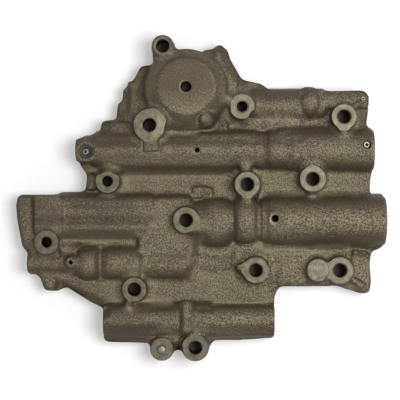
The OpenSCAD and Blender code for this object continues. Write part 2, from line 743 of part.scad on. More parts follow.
module detent_regulator_valve() {
  color([0.6, 0.61, 0.62])
    translate([0, y23, z23]) {
      spool(regdt_x, ldt_reg, bdt_d / 2 - run_gap, [[0.06, 0.3], [0.5, 0.66], [0.8, 1]]);
      xbar(regdt_x + ldt_reg - 1, indt - 0.05, bdt_d * 0.2);
    }
}

module detent_spring() {
  color([0.5, 0.5, 0.52])
    translate([0, y23, z23])
      xcoil(plugdt_x + lplug, valvedt_x, bdt_d * 0.36, bdt_d * wire_share, 7);
}

module detent_plug() {
  color([0.7, 0.68, 0.62])
    translate([0, y23, z23])
      bore_plug(plugdt_x, lplug, bdt_d / 2 - seat_gap, [pindt[0], pindt[1] - y23], pin_d);
}

module detent_retaining_pin() {
  color([0.72, 0.72, 0.7])
    spring_pin(pindt, 2, eye_top - 1.9, pin_d);
}

module accumulator_valve() {
  color([0.66, 0.67, 0.68])
    translate([0, yav, zav]) {
      spool(avalve_x, lav, bav_d / 2 - run_gap, [[0, 0.3], [0.5, 0.64], [0.82, 1]]);
      xbar(avalve_x + lav - 1, inav - 0.05, bav_d * 0.22);
    }
}

module accumulator_valve_spring() {
  color([0.5, 0.5, 0.52])
    translate([0, yav, zav])
      xcoil(plugav_x + lplug, avalve_x, bav_d * 0.36, bav_d * wire_share * 1.1, 7);
}

module accumulator_valve_plug() {
  color([0.7, 0.68, 0.62])
    translate([0, yav, zav])
      bore_plug(plugav_x, lplug, bav_d / 2 - seat_gap, [pinav[0], 0], small_pin_d);
}

module accumulator_valve_retaining_pin() {
  color([0.72, 0.72, 0.7])
    spring_pin(pinav, 2, zav + rav - 3, small_pin_d);
}

module accumulator_piston() {
  color([0.72, 0.73, 0.74])
    translate([acc[0], acc[1], 0])
      difference() {
        translate([0, 0, piston_z])
          cylinder(h = piston_h, r = pocket_r - 0.08);
        translate([0, 0, web_z])
          difference() {
            cylinder(h = piston_h + 2, r = pocket_r - 3.6);
            translate([0, 0, -1])
              cylinder(h = piston_h + 4, r = acc_pin_d / 2 + 2.6);
          }
        translate([0, 0, piston_z - 1])
          cylinder(h = piston_h + 4, r = acc_pin_d / 2 + run_gap);
        translate([0, 0, piston_z + piston_h / 2 - ring_h / 2 - 0.03])
          difference() {
            cylinder(h = ring_h + 0.06, r = pocket_r + 2);
            translate([0, 0, -1])
              cylinder(h = ring_h + 3, r = pocket_r - 1.7);
          }
      }
}

module accumulator_piston_ring() {
  color([0.2, 0.2, 0.21])
    translate([acc[0], acc[1], piston_z + piston_h / 2 - ring_h / 2])
      difference() {
        cylinder(h = ring_h, r = pocket_r - run_gap);
        translate([0, 0, -1])
          cylinder(h = ring_h + 2, r = pocket_r - 1.65);
        translate([0, -0.2, -1])
          cube([pocket_r + 2, 0.4, ring_h + 2]);
      }
}

module accumulator_spring() {
  color([0.5, 0.5, 0.52])
    translate([acc[0], acc[1], web_z + 0.02])
      coil(pocket_h - web_z - 0.04, pocket_r * 0.58, acc_wire, 4);
}

module accumulator_pin() {
  color([0.7, 0.7, 0.68])
    translate([acc[0], acc[1], 0])
      difference() {
        translate([0, 0, 1.2])
          cylinder(h = pocket_h - 3.7, r = acc_pin_d / 2 - seat_gap);
        translate([0, 0, clip_z - 0.03])
          difference() {
            cylinder(h = clip_t + 0.06, r = acc_pin_d);
            translate([0, 0, -1])
              cylinder(h = clip_t + 3, r = acc_pin_d / 2 - 0.8);
          }
      }
}

module accumulator_clip() {
  color([0.3, 0.3, 0.32])
    translate([acc[0], acc[1], clip_z])
      difference() {
        cylinder(h = clip_t, r = acc_pin_d / 2 + 2);
        translate([0, 0, -1])
          cylinder(h = clip_t + 2, r = acc_pin_d / 2 - 0.78);
        translate([0, -acc_pin_d * 0.33, -1])
          cube([acc_pin_d * 2, acc_pin_d * 0.66, clip_t + 2]);
      }
}

casting();
locating_dowel();
manual_valve();
shift_12_valve();
shift_12_detent_valve();
shift_12_spring();
shift_12_regulator_valve();
shift_12_bushing();
shift_12_retaining_pin();
shift_23_valve();
shift_23_intermediate_spring();
shift_23_modulator_valve();
shift_23_spring();
shift_23_bushing();
shift_23_retaining_pin();
valve_32();
valve_32_spring();
valve_32_spacer();
valve_32_plug();
valve_32_retaining_pin();
detent_valve();
detent_regulator_valve();
detent_spring();
detent_plug();
detent_retaining_pin();
accumulator_valve();
accumulator_valve_spring();
accumulator_valve_plug();
accumulator_valve_retaining_pin();
accumulator_piston();
accumulator_piston_ring();
accumulator_spring();
accumulator_pin();
accumulator_clip();
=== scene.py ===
import math

import bmesh
import bpy
import numpy as np
from mathutils import Matrix, Vector, noise


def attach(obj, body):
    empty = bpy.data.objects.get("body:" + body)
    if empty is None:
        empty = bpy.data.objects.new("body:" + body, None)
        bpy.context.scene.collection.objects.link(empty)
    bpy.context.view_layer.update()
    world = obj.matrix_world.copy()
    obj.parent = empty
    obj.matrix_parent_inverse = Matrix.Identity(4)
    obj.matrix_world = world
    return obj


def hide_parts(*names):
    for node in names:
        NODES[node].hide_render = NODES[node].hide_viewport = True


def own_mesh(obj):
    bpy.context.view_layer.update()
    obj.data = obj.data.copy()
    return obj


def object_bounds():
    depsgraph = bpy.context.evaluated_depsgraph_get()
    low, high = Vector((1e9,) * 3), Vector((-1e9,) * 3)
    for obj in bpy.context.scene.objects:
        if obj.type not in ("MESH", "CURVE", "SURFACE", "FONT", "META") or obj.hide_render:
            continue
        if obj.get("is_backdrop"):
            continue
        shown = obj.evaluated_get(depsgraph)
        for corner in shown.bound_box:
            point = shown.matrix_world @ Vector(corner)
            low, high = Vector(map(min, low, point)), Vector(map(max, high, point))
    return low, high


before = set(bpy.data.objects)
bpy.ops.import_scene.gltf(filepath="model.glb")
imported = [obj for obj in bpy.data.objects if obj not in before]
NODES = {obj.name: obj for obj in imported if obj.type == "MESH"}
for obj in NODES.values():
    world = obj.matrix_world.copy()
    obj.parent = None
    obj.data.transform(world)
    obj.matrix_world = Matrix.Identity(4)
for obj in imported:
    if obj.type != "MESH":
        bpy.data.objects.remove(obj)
cad_low, cad_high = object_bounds()

# Casting: grey iron poured in green sand, one piece, with soft fillets and a grainy skin.
# The raw skin is grown from the solid and smoothed as sand rounds it, and is then machined:
# sole face, spot faces, bolt holes, valve bores, pin holes and accumulator pocket.
MM = 0.001

# Bolt places: x, y, face height, hole diameter, spot face radius, all in mm
BOLTS = [
    (-22.5, 90.5, 23.5, 8.0, 4.9),
    (-30.4, 43.4, 25.4, 8.0, 9.8),
    (24.8, 54.4, 24.2, 6.5, 7.8),
    (85.4, 48.4, 24.6, 8.0, 7.8),
    (-55.4, 10.0, 22.4, 6.5, 7.4),
    (27.8, 8.1, 24.4, 8.0, 7.9),
    (66.8, 11.3, 24.8, 8.0, 8.1),
    (-8.6, -13.2, 25.0, 8.0, 8.1),
    (-91.7, -26.4, 22.9, 6.5, 7.5),
    (32.9, -43.0, 23.7, 8.0, 8.1),
    (83.1, -43.1, 23.3, 8.0, 8.3),
    (-39.4, -54.5, 23.1, 8.0, 7.6),
    (-3.1, -89.3, 21.6, 8.0, 7.4),
]
# Faced pads without a bolt, the second one for the dowel: x, y, face height, radius
DOWEL = (-23.1, -90.3)
PADS = [(70.1, -43.0, 22.6, 6.5), (*DOWEL, 19.2, 7.6)]
# Bores along X: y and z of the axis, radius
BORE_12 = (-13.6, 15.0, 8.5)
BORE_23 = (28.8, 14.5, 7.0)
BORE_32 = (58.2, 12.5, 3.2)
BORE_DETENT = (28.8, 14.5, 6.0)
BORE_ACCUMULATOR = (-38.4, 12.5, 3.8)
BORE_MANUAL = (-73.2, 14.5, 6.5)
# Each bore with the x of its inner end and of its mouth; the manual valve's goes through
BORES = [
    (BORE_12, 2.0, 110.7),
    (BORE_23, 40.0, 103.7),
    (BORE_DETENT, 36.0, -74.9),
    (BORE_32, 40.0, 100.9),
    (BORE_ACCUMULATOR, -33.0, -103.9),
    (BORE_MANUAL, -58.2, 44.2),
]
# Pins across the bore mouths: x, y
PIN_12 = (105.5, -13.6)
PIN_23 = (98.9, 31.7)
PIN_32 = (97.3, 59.4)
PIN_DETENT = (-68.3, 27.6)
PIN_ACCUMULATOR = (-77.3, -38.4)
# Upright cutters start below the sole and end high above the casting
UNDER, SKY = -4.0, 45.0
# Drilled holes: x, y, bottom, iron's top, hole's top, radius, then counterbore floor and radius
DRILLED = [
    (*PIN_12, UNDER, 26.0, 26.0, 2.0, 0, 0),
    (*PIN_23, UNDER, 25.6, SKY, 2.0, 24.5, 2.6),
    (*PIN_32, UNDER, 18.9, SKY, 1.3, 0, 0),
    (*PIN_DETENT, UNDER, 22.6, SKY, 2.0, 20.9, 4.6),
    (*PIN_ACCUMULATOR, UNDER, 21.7, SKY, 1.3, 0, 0),
    (44.2, -12.2, 15.0, 29.0, SKY, 2.2, 28.5, 3.8),
    (-1.9, 28.5, 14.5, 24.6, SKY, 1.5, 0, 0),
    (*DOWEL, 6.0, 19.4, SKY, 2.5, 0, 0),
]
# Knob at the dome's foot, in a shallow moat; a spot is a very short line
KNOB = (4.2, 45.8)
KNOB_SPOT = (KNOB, (4.3, 45.8))


def moat(radius, first):
    """Points half a radian apart on a ring round the knob, from the first one to the full turn."""
    turn = [k / 2 for k in range(first, 13)]
    return [(KNOB[0] + radius * math.cos(a), KNOB[1] + radius * math.sin(a)) for a in turn]


# Shallow relief that the pattern gave the skin: half width, height, then points of a line
RELIEF = [
    (2.4, -0.8, *moat(6, 5)),
    (2.6, -1.5, (-65.5, -29.6), (-70.5, -30.4), (-74.2, -33)),
    (2.6, -1.5, (-73.4, -46.9), (-69, -49), (-64.2, -48.9)),
    (3.0, -1.2, (-60.2, -31), (-60.2, -47)),
    (1.4, -0.8, (-34.6, 36), (-34.4, 27.2), (-24.2, 27.2), (-24.2, 38)),
    (1.0, 0.5, (-82.3, -1), (-82.3, -20)),
    (9.0, -1.6, (-1, -9), (-1, 0)),
    (6.0, -2.0, (0, -29), (1, -25)),
    (3.4, -1.0, (19.8, -26), (19.8, -2)),
    (1.6, -1.2, (90, 57), (96, 59)),
    (5.0, -1.2, (-57, -79.5), (-30, -79.5)),
    (5.0, -1.2, (8, -79.5), (43, -79.5)),
    (2.4, -0.8, (68.2, 49.6), (71.4, 53), (72.2, 57.2), (71.4, 61.4), (68.2, 64.8)),
    (2.4, -0.8, (63, 49.6), (59.8, 53), (59, 57.2), (59.8, 61.4), (63, 64.8)),
    (6.0, -1.8, (30, 64.5), (60, 64.5)),
    (6.0, -2.0, (74, 65), (100, 65), (101, 46)),
    (3.0, -0.7, (39.3, 20), (39.3, 38)),
    (3.0, -0.6, (53.4, 20), (53.4, 38)),
    (5.0, -1.0, (-62, 34), (-38, 34)),
    (5.0, -1.0, (-22, 34.5), (57, 34.5)),
    (8.0, 1.4, (30, 46), (58, 46)),
    (16.0, 2.8, (30, -34), (58, -37), (48, -45)),
    (5.0, 2.0, (-84, -29), (-73, -30)),
    (3.0, -1.0, (-12.4, -63), (-12.4, -79)),
    (3.0, -1.3, (-1, -65.6), (6, -65.8)),
    (6.0, 1.0, (-31, -39.8), (-8.5, -39.8)),
    (5.0, 0.7, (-5, -38.5), (21, -38.5)),
    (1.2, -0.6, (48, -34.7), (61, -34.7)),
    (4.0, -6.0, (-12.8, -90), (-12.8, -96)),
    (9.0, -3.5, (-59, 46), (-49, 57), (-46.5, 64), (-41, 70), (-35, 80)),
    (6.0, -3.0, (12, 93), (17, 86), (24, 73), (37, 69)),
    (6.0, -3.5, (-84, -54.5), (-66, -62.6), (-58, -67)),
    (3.5, -2.0, (-57, -86.6), (-32, -87)),
    (3.0, -1.5, (9, -85.6), (44, -84.2)),
    (5.0, -2.0, (90, -30), (102, -33)),
]
# Painted light and shade on the skin, lighter or darker along lines: half width, tone, then points of a line
PAINTED_LIGHT_AND_SHADE = [
    (4.2, -0.24, (-98, -13.4), (-32, -13.3)),
    (16.0, -0.13, (-104, -5), (-44, -5)),
    (2.6, -0.24, (-36, -34.6), (-10, -34.6)),
    (2.8, -0.24, (-5, -33.6), (2.5, -35.6), (15, -35.8), (21.5, -33)),
    (8.0, -0.22, (13, 47), (22, 48)),
    (5.0, -0.10, (43, -22.5), (104, -22.5)),
    (3.8, -0.18, (64, 46.5), (79, 46)),
    (9.0, -0.12, (-45, 41.5), (-42, 41.5)),
    (6.0, -0.12, (-38, 61), (-38, 55)),
    (10.0, -0.06, (-56, 29), (-40, 30)),
    (10.0, -0.06, (-30, -25), (-18, -25)),
    (6.0, -0.08, (-56, -77), (-28, -77)),
    (2.4, -0.10, *moat(5, 0)),
    (3.2, 0.20, *KNOB_SPOT),
    (18.0, 0.12, (36, -31), (58, -35)),
    (6.0, 0.14, (27, 20), (36, 20)),
    (3.6, 0.30, (70, -28.4), (88, -28.4)),
    (3.0, 0.24, (-82, -23), (-38, -23)),
    (3.0, 0.14, (36, 2), (100, 2.4)),
    (4.0, 0.16, (-41, -66.4), (-15, -63.4)),
    (3.0, 0.10, (8, -64.6), (43, -64.6)),
    (2.6, 0.20, (111, 0), (110.6, -27)),
    (2.6, 0.20, (103.5, 40), (104, 18)),
    (5.0, 0.18, (88, -54.6), (101, -55.4)),
    (6.0, 0.12, (-8, 52), (2, 52)),
    (5.0, 0.12, (36, -24), (36, -4)),
    (3.2, 0.24, (-28, -81), (-20, -79.6), (-14, -82), (-12.8, -87)),
    (2.6, 0.18, (-8, -79), (0, -78.6), (4, -80)),
    (4.0, 0.10, (-58, 22), (36, 22)),
    (4.0, -0.08, (-60, 31.5), (-22, 31.5)),
    (4.0, -0.14, (37, 58), (58, 58)),
    (3.0, 0.20, (-5, -32), (-5, -46)),
    (2.4, 0.12, (-30, -48.4), (-8, -48.4)),
    (3.0, 0.20, (17, 52), (17.6, 60)),
    (2.4, -0.16, (-28, 56.5), (-22, 52), (-17.5, 45.5)),
    (3.0, -0.14, (-37, 62), (-36.5, 54)),
    (3.0, 0.16, (-62, 17), (-60, 8)),
    (3.0, 0.18, (66, 1), (72, 1)),
    (4.0, 0.14, (38, -28), (50, -33), (62, -33.5)),
    (4.0, -0.12, (-78, -4.5), (-63, -4.5)),
    (4.0, -0.16, (96, 30), (98.5, 28)),
    (3.0, -0.16, (-10, -31), (-8.6, -31)),
    (3.0, -0.16, (21.5, -31), (22.5, -33)),
    (5.0, -0.08, (-82, -38), (-69, -37)),
    (3.0, -0.14, (39.3, 22), (39.3, 38)),
    (3.0, -0.10, (53.4, 24), (53.4, 38)),
    (2.4, 0.12, (-80, -20.4), (-38, -20.4)),
    (8.0, -0.07, (-56, -73), (42, -73)),
    (2.4, 0.20, (5.6, 45.2), (5.7, 45.2)),
    (2.6, -0.12, (1, 49.5), (6, 50.5)),
    (4.0, -0.14, (-45, 41.5), (-43, 41.5)),
    (3.0, -0.14, (74, 45.6), (77, 45.6)),
]
# Steps that the sand rounded off widely: half width, then points of a line
EASED = [
    (8.0, (-1, -22), (-5.4, -38)),
    (6.0, (-5.2, -36), (-5.2, -46)),
    (5.0, (-17.3, 42), (-10, 40.7), (-4.2, 40.9)),
    (5.0, (11.8, 50.8), (15.9, 59.4)),
    (3.0, (-83, -21.8), (-38.5, -21.8)),
    (2.6, (-60, 16), (20, 16)),
    (2.4, (30, 50), (60, 50)),
    (3.0, (40, 1.5), (100, 1.5)),
    (3.0, (40, -28), (100, -28)),
    (3.0, (-54, -66), (-40, -66.5), (-15, -63.5)),
    (3.5, (-59.8, -31), (-59.8, -47)),
]
# Floor that runs in under the crest of the lowest ridge: corners and height
SHELVES = [((6.0, -65.0, 43.6, -58.0), 13.5), ((-30.0, -65.2, -14.6, -58.0), 13.5)]
# Neck before the largest ridge: x of its start and end, radius, and the radius that it is drawn in from
NARROWED = (33.4, 40.8, 12.6, 17.0)
# Lumps that the sand left in corners: x, y, top, radius
LUMPS = [(14.5, 50.5, 15.6, 7.0), (27.0, 18.3, 21.8, 3.2), (-17.0, -82.5, 17.5, 5.0)]
# Swollen stretches along X: y and z of the axis, width to height, then x and radius of each step
SWOLLEN = [
    (-14.6, 15.0, 1.33, (-4.8, 6.4), (-3.6, 8.2), (-1, 9.4), (3, 10.2), (8, 10.7), (11.5, 10.8),
     (14.5, 10.5), (16.5, 9.8), (18, 8.8)),
    (31.2, 11.6, 1.0, (44, 9.5), (47, 11.9), (77, 11.9), (81, 9.5)),
    (30.6, 13.2, 1.0, (-4, 8.5), (-1, 10.3), (33, 10.3), (36, 8.5)),
    (26.4, 13.1, 1.0, (-60, 8.5), (-57, 10.3), (19, 10.3), (22, 8.5)),
    (-13.4, 15.0, 1.0, (20.4, 12), (22, 13.2), (24.5, 14), (27, 14.3), (29.5, 14), (32, 13.2),
     (33.4, 12)),
    (-1.9, 13.8, 0.7, (-27, 4.6), (-25, 5.2), (-7, 5.2), (-5.6, 4.4)),
]
POCKET = (-8.6, 66.0)
POCKET_R, POCKET_H = 19.5, 22.0
HUB_R, HUB_Z = 5.7, 15.0
GUIDE_R, DOME_TOP = 3.3, 28.0
# The dome's shoulder: radius and height where its fall starts, fall for each mm, and its rise at the knob
SHOULDER_R, SHOULDER_TOP, SHOULDER_FALL = 16.8, 27.6, 0.85
KNOB_REACH, KNOB_RISE = 6.0, 4.0
# The skin: size of its cells, triangles kept, rounds of smoothing and the share that outer corners get
SKIN_VOXEL, SKIN_TRIANGLES = 0.66, 150000
FILLET_ROUNDS, OUTER_SHARE = 60, 0.08
EASE_ROUNDS = 120
BOX_MARGIN = 0.05
# Iron left for the cutters, round each filled hole, on the sole and on the bosses
SPARE, SOLE_STOCK, FACE_STOCK = 0.5, 3.0, 1.0
BOSS_RIM, BOSS_CAP = 0.7, 2.0
BOSS_LEAN, LEAN_REACH, LEAN_FROM = 1.1, 3.2, 9
# Cutters: chamfer of a bolt hole, lap into the hole, reach beyond a spot face, lip of a bore and run out
CHAMFER, LAP, FACE_REACH = 0.8, 0.05, 0.5
MOUTH_LIP, RUN_OUT = 0.7, 4
# Edges sharper than this angle stay crisp
CRISP = 38


def linked(name, bm):
    """New object in the scene from a bmesh, which is freed."""
    mesh = bpy.data.meshes.new(name)
    bm.to_mesh(mesh)
    bm.free()
    made = bpy.data.objects.new(name, mesh)
    bpy.context.scene.collection.objects.link(made)
    return made


def turned(name, profile, place, along="Z", segments=96):
    """Closed solid of revolution from (radius, height) pairs in mm, first and last on the axis."""
    bm = bmesh.new()
    turn = [2 * math.pi * k / segments for k in range(segments)]
    rings = []
    for radius, height in profile:
        if radius == 0:
            rings.append([bm.verts.new((0, 0, height * MM))])
            continue
        r, h = radius * MM, height * MM
        rings.append([bm.verts.new((r * math.cos(a), r * math.sin(a), h)) for a in turn])
    for low, high in zip(rings, rings[1:]):
        for k in range(segments):
            n = (k + 1) % segments
            corners = [low[k % len(low)], low[n % len(low)], high[n % len(high)], high[k % len(high)]]
            bm.faces.new(list(dict.fromkeys(corners)))
    bmesh.ops.recalc_face_normals(bm, faces=bm.faces)
    lie = Matrix.Rotation(math.radians(90), 4, "Y") if along == "X" else Matrix.Identity(4)
    bm.transform(Matrix.Translation(Vector(place) * MM) @ lie)
    return linked(name, bm)


def bar(r, low, high):
    """Profile of a plain round bar."""
    return [(0, low), (r, low), (r, high), (0, high)]


def joined(name, objects):
    """One object of all these meshes."""
    bm = bmesh.new()
    for o in objects:
        bm.from_mesh(o.data)
        bpy.data.objects.remove(o)
    return linked(name, bm)


def settle(o):
    """Turns an object's live modifiers into its plain mesh."""
    bpy.context.view_layer.update()
    evaluated = o.evaluated_get(bpy.context.evaluated_depsgraph_get())
    mesh = bpy.data.meshes.new_from_object(evaluated)
    o.modifiers.clear()
    o.data = mesh


def machine(target, tools, finish):
    """Cuts a set of tools that don't overlap each other; the cut faces get the finish."""
    tool = joined("tool", tools)
    tool.data.materials.append(finish)
    cut = target.modifiers.new("cut", "BOOLEAN")
    cut.operation = "DIFFERENCE"
    cut.solver = "MANIFOLD"
    cut.material_mode = "TRANSFER"
    cut.object = tool
    settle(target)
    bpy.data.objects.remove(tool)


def arrays(mesh):
    """Points, normals, edges and edge counts of a mesh."""
    n = len(mesh.vertices)
    points, normals = np.empty(n * 3), np.empty(n * 3)
    edges = np.empty(len(mesh.edges) * 2, np.int64)
    mesh.vertices.foreach_get("co", points)
    mesh.vertex_normals.foreach_get("vector", normals)
    mesh.edges.foreach_get("vertices", edges)
    count = np.bincount(edges, minlength=n)
    return points.reshape(-1, 3), normals.reshape(-1, 3), edges.reshape(-1, 2), count


def moved(mesh, points):
    """Puts the points of a mesh in new places."""
    mesh.vertices.foreach_set("co", points.ravel())
    mesh.update()


def lean(points, edges, count):
    """Way from each point to the middle of its neighbours."""
    a, b, n = edges[:, 0], edges[:, 1], len(points)
    middle = [np.bincount(a, points[b, k], n) + np.bincount(b, points[a, k], n) for k in range(3)]
    return np.stack(middle, 1) / count[:, None] - points


def fillet(mesh, rounds, convex, renew=10):
    """Smooths hollow corners fully and outer corners by the convex share, with normals renewed on the way."""
    for step in range(rounds):
        if step % renew == 0:
            points, normals, edges, count = arrays(mesh)
        way = lean(points, edges, count)
        inward = (way * normals).sum(1)
        share = convex + (1 - convex) * np.clip(inward / (0.02 * MM), 0, 1)
        points = points + 0.5 * way * share[:, None]
        if step % renew == renew - 1 or step == rounds - 1:
            moved(mesh, points)


def beside(points, width, line):
    """Share of each point from its distance in plan to a line: 1 on it, 0 from the half width on."""
    near = np.full(len(points), width)
    for start, end in zip(line, line[1:]):
        way = np.subtract(end, start)
        p = points[:, :2] / MM - start
        along = np.clip(p @ way / (way @ way), 0, 1)
        near = np.minimum(near, np.linalg.norm(p - along[:, None] * way, axis=1))
    return 1 - near / width


def hump(height, share):
    """Soft rise to the height as the share goes from 0 to 1."""
    return height * share * share * (3 - 2 * share)


def hollowness(mesh, rounds, span):
    """How hollow the surface is round each point: 1 in a deep corner, -1 on a sharp crest."""
    points, normals, edges, count = arrays(mesh)
    rest = points.copy()
    for _ in range(rounds):
        points = points + 0.5 * lean(points, edges, count)
    return np.clip(((points - rest) * normals).sum(1) / (span * MM), -1, 1)


def shader(name, roughness, metallic):
    """New node material, with its node tree and surface shader."""
    material = bpy.data.materials.new(name)
    material.use_nodes = True
    bsdf = material.node_tree.nodes["Principled BSDF"]
    bsdf.inputs["Roughness"].default_value = roughness
    bsdf.inputs["Metallic"].default_value = metallic
    return material, material.node_tree, bsdf


def add(tree, kind, links=(), **values):
    """New shader node: values go to its properties or numbered sockets, links to its sockets."""
    node = tree.nodes.new("ShaderNode" + kind)
    for key, value in values.items():
        if key.startswith("s_"):
            node.inputs[int(key[2:])].default_value = value
        else:
            setattr(node, key, value)
    for number, source in links:
        tree.links.new(source, node.inputs[number])
    return node


def calc(tree, operation, *terms):
    """Result of a math node on numbers and sockets."""
    node = tree.nodes.new("ShaderNodeMath")
    node.operation = operation
    for number, term in enumerate(terms):
        if isinstance(term, (int, float)):
            node.inputs[number].default_value = term
        else:
            tree.links.new(term, node.inputs[number])
    return node.outputs[0]


def ranged(tree, value, start, end, low, high):
    """Value of start to end as low to high, held beyond both."""
    return add(tree, "MapRange", [(0, value)], s_1=start, s_2=end, s_3=low, s_4=high).outputs[0]


def speckle(tree, place, scale, detail, low, high, rough=0.5, span=(0.3, 0.7)):
    """Noise that runs from low to high over a span of its own values."""
    grain = add(tree, "TexNoise", [(0, place)])
    grain.inputs["Scale"].default_value = scale
    grain.inputs["Detail"].default_value = detail
    grain.inputs["Roughness"].default_value = rough
    return ranged(tree, grain.outputs[0], *span, low, high)


def coloured(tree, bsdf, tone, *stops):
    """Colour ramp on the tone, to the surface colour, and its socket."""
    ramp = add(tree, "ValToRGB", [(0, tone)])
    row = ramp.color_ramp.elements
    for number, (at, colour) in enumerate(stops):
        stop = row[number] if number < 2 else row.new(at)
        stop.position = at
        stop.color = (*colour, 1)
    tree.links.new(ramp.outputs[0], bsdf.inputs["Base Color"])
    return ramp.outputs[0]


def bumped(tree, bsdf, height, strength, distance):
    """Bump on the surface from a height."""
    bump = add(tree, "Bump", [(2, height)])
    bump.inputs["Strength"].default_value = strength
    bump.inputs["Distance"].default_value = distance
    tree.links.new(bump.outputs[0], bsdf.inputs["Normal"])


def away(tree, place, x, y):
    """Distance in plan from a point given in mm."""
    back = (-x * MM, -y * MM, 0)
    flat = add(tree, "VectorMath", [(0, place)], operation="MULTIPLY_ADD", s_1=(1, 1, 0), s_2=back)
    return add(tree, "VectorMath", [(0, flat.outputs[0])], operation="LENGTH").outputs["Value"]


# Skin: painted light makes what faces up lighter and painted shade darkens the flanks
PAINTED_SHADE_DARK = (0.026, 0.016, 0.0124)
SKIN_BROWN = (0.0885, 0.0692, 0.0464)
PAINTED_LIGHT_BRIGHT = (0.25, 0.222, 0.137)
iron, tree, bsdf = shader("cast_iron", 0.6, 0.2)
bsdf.inputs["Specular IOR Level"].default_value = 0.25
place = add(tree, "TexCoord").outputs["Object"]
across = add(tree, "SeparateXYZ", [(0, place)]).outputs
facing = add(tree, "SeparateXYZ", [(0, add(tree, "TexCoord").outputs["Normal"])]).outputs[2]
painted_facing_light = calc(tree, "POWER", ranged(tree, facing, 0.62, 1.0, 0.0, 1.0), 1.6)
hollow = add(tree, "Attribute", attribute_name="hollow").outputs["Fac"]
grain = speckle(tree, place, 1250, 2, -0.5, 0.55, rough=0.55)
tone = calc(tree, "MULTIPLY_ADD", painted_facing_light, 0.24, 0.365)
# Painted light lifts the hollow places
tone = calc(tree, "MULTIPLY_ADD", calc(tree, "MAXIMUM", hollow, 0.0), 0.24, tone)
dome = ranged(tree, away(tree, place, *POCKET), 0.0155, 0.0185, 1.0, 0.0)
worn = calc(tree, "MULTIPLY", dome, ranged(tree, across[1], 0.054, 0.066, 0.0, 1.0))
# Grain shows most, partly as painted glints, on what faces up; less on the worn dome, more to the right and
# front
amount = calc(tree, "MULTIPLY_ADD", painted_facing_light, 0.68, 0.28)
smoother = calc(tree, "MULTIPLY_ADD", worn, -0.6, 1.0)
rightward = ranged(tree, across[0], -0.06, 0.07, 0.68, 1.28)
forward = ranged(tree, across[1], -0.05, 0.05, 1.15, 0.88)
for part in (smoother, rightward, forward):
    amount = calc(tree, "MULTIPLY", amount, part)
tone = calc(tree, "MULTIPLY_ADD", grain, amount, tone)
tone = calc(tree, "ADD", tone, speckle(tree, place, 70, 4, -0.06, 0.06))
tone = calc(tree, "MULTIPLY_ADD", worn, -0.2, tone)
# Painted light and shade along lines, then lighter towards +Y and on the highest parts
stain_and_painted_light = add(tree, "Attribute", attribute_name="stain_and_painted_light").outputs["Fac"]
behind = ranged(tree, across[1], 0.045, 0.07, 0.0, 0.05)
crests = ranged(tree, across[2], 0.019, 0.024, 0.0, 0.05)
for part in (stain_and_painted_light, behind, crests):
    tone = calc(tree, "ADD", tone, part)
plain = coloured(tree, bsdf, tone, (0, PAINTED_SHADE_DARK), (1, PAINTED_LIGHT_BRIGHT), (0.5, SKIN_BROWN))
tint = add(tree, "HueSaturation", [(0, speckle(tree, place, 40, 2, 0.486, 0.514)), (4, plain)])
tree.links.new(tint.outputs[0], bsdf.inputs["Base Color"])
bumped(tree, bsdf, grain, 0.6, 0.0005)

# Cut faces: a facing cutter leaves rings round each bolt hole, and one face has a painted glint
CUT_DARK = (0.064, 0.054, 0.034)
CUT_GREY = (0.182, 0.161, 0.104)
CUT_BRIGHT = (0.30, 0.27, 0.18)
CUTTER_RINGS = 4200.0
PAINTED_GLINT_PLACE = (-22.8, 42.5)
bright, tree, bsdf = shader("machined_iron", 0.42, 0.45)
place = add(tree, "TexCoord").outputs["Object"]
near = away(tree, place, *BOLTS[0][:2])
for bolt in BOLTS[1:]:
    near = calc(tree, "MINIMUM", near, away(tree, place, *bolt[:2]))
rings = calc(tree, "SINE", calc(tree, "MULTIPLY", near, CUTTER_RINGS))
stain_and_painted_light = speckle(tree, place, 350, 4, 0.05, 0.85, span=(0.28, 0.72))
side = add(tree, "SeparateXYZ", [(0, place)]).outputs
# Painted reflection: the faces are darker to the left and lighter towards +Y
rightward = ranged(tree, side[0], -0.09, 0.09, -0.07, 0.0)
behind = ranged(tree, side[1], -0.05, 0.05, -0.1, 0.1)
glint = ranged(tree, away(tree, place, *PAINTED_GLINT_PLACE), 0.002, 0.010, 0.7, 0.0)
for part in (rightward, behind, glint):
    stain_and_painted_light = calc(tree, "ADD", stain_and_painted_light, part)
stain_and_painted_light = calc(tree, "MULTIPLY", calc(tree, "MULTIPLY_ADD", rings, 0.16, stain_and_painted_light), 0.6)
coloured(tree, bsdf, stain_and_painted_light, (0, CUT_DARK), (1, CUT_BRIGHT), (0.6, CUT_GREY))
bumped(tree, bsdf, rings, 0.3, 0.00006)

# Drilled walls are dark, partly from an oil film and partly as painted shade
drilled, tree, bsdf = shader("drilled_iron", 0.5, 0.2)
place = add(tree, "TexCoord").outputs["Object"]
film = speckle(tree, place, 500, 3, 0.0, 1.0)
coloured(tree, bsdf, film, (0, (0.026, 0.020, 0.015)), (1, (0.070, 0.057, 0.042)))
bumped(tree, bsdf, film, 0.2, 0.0001)

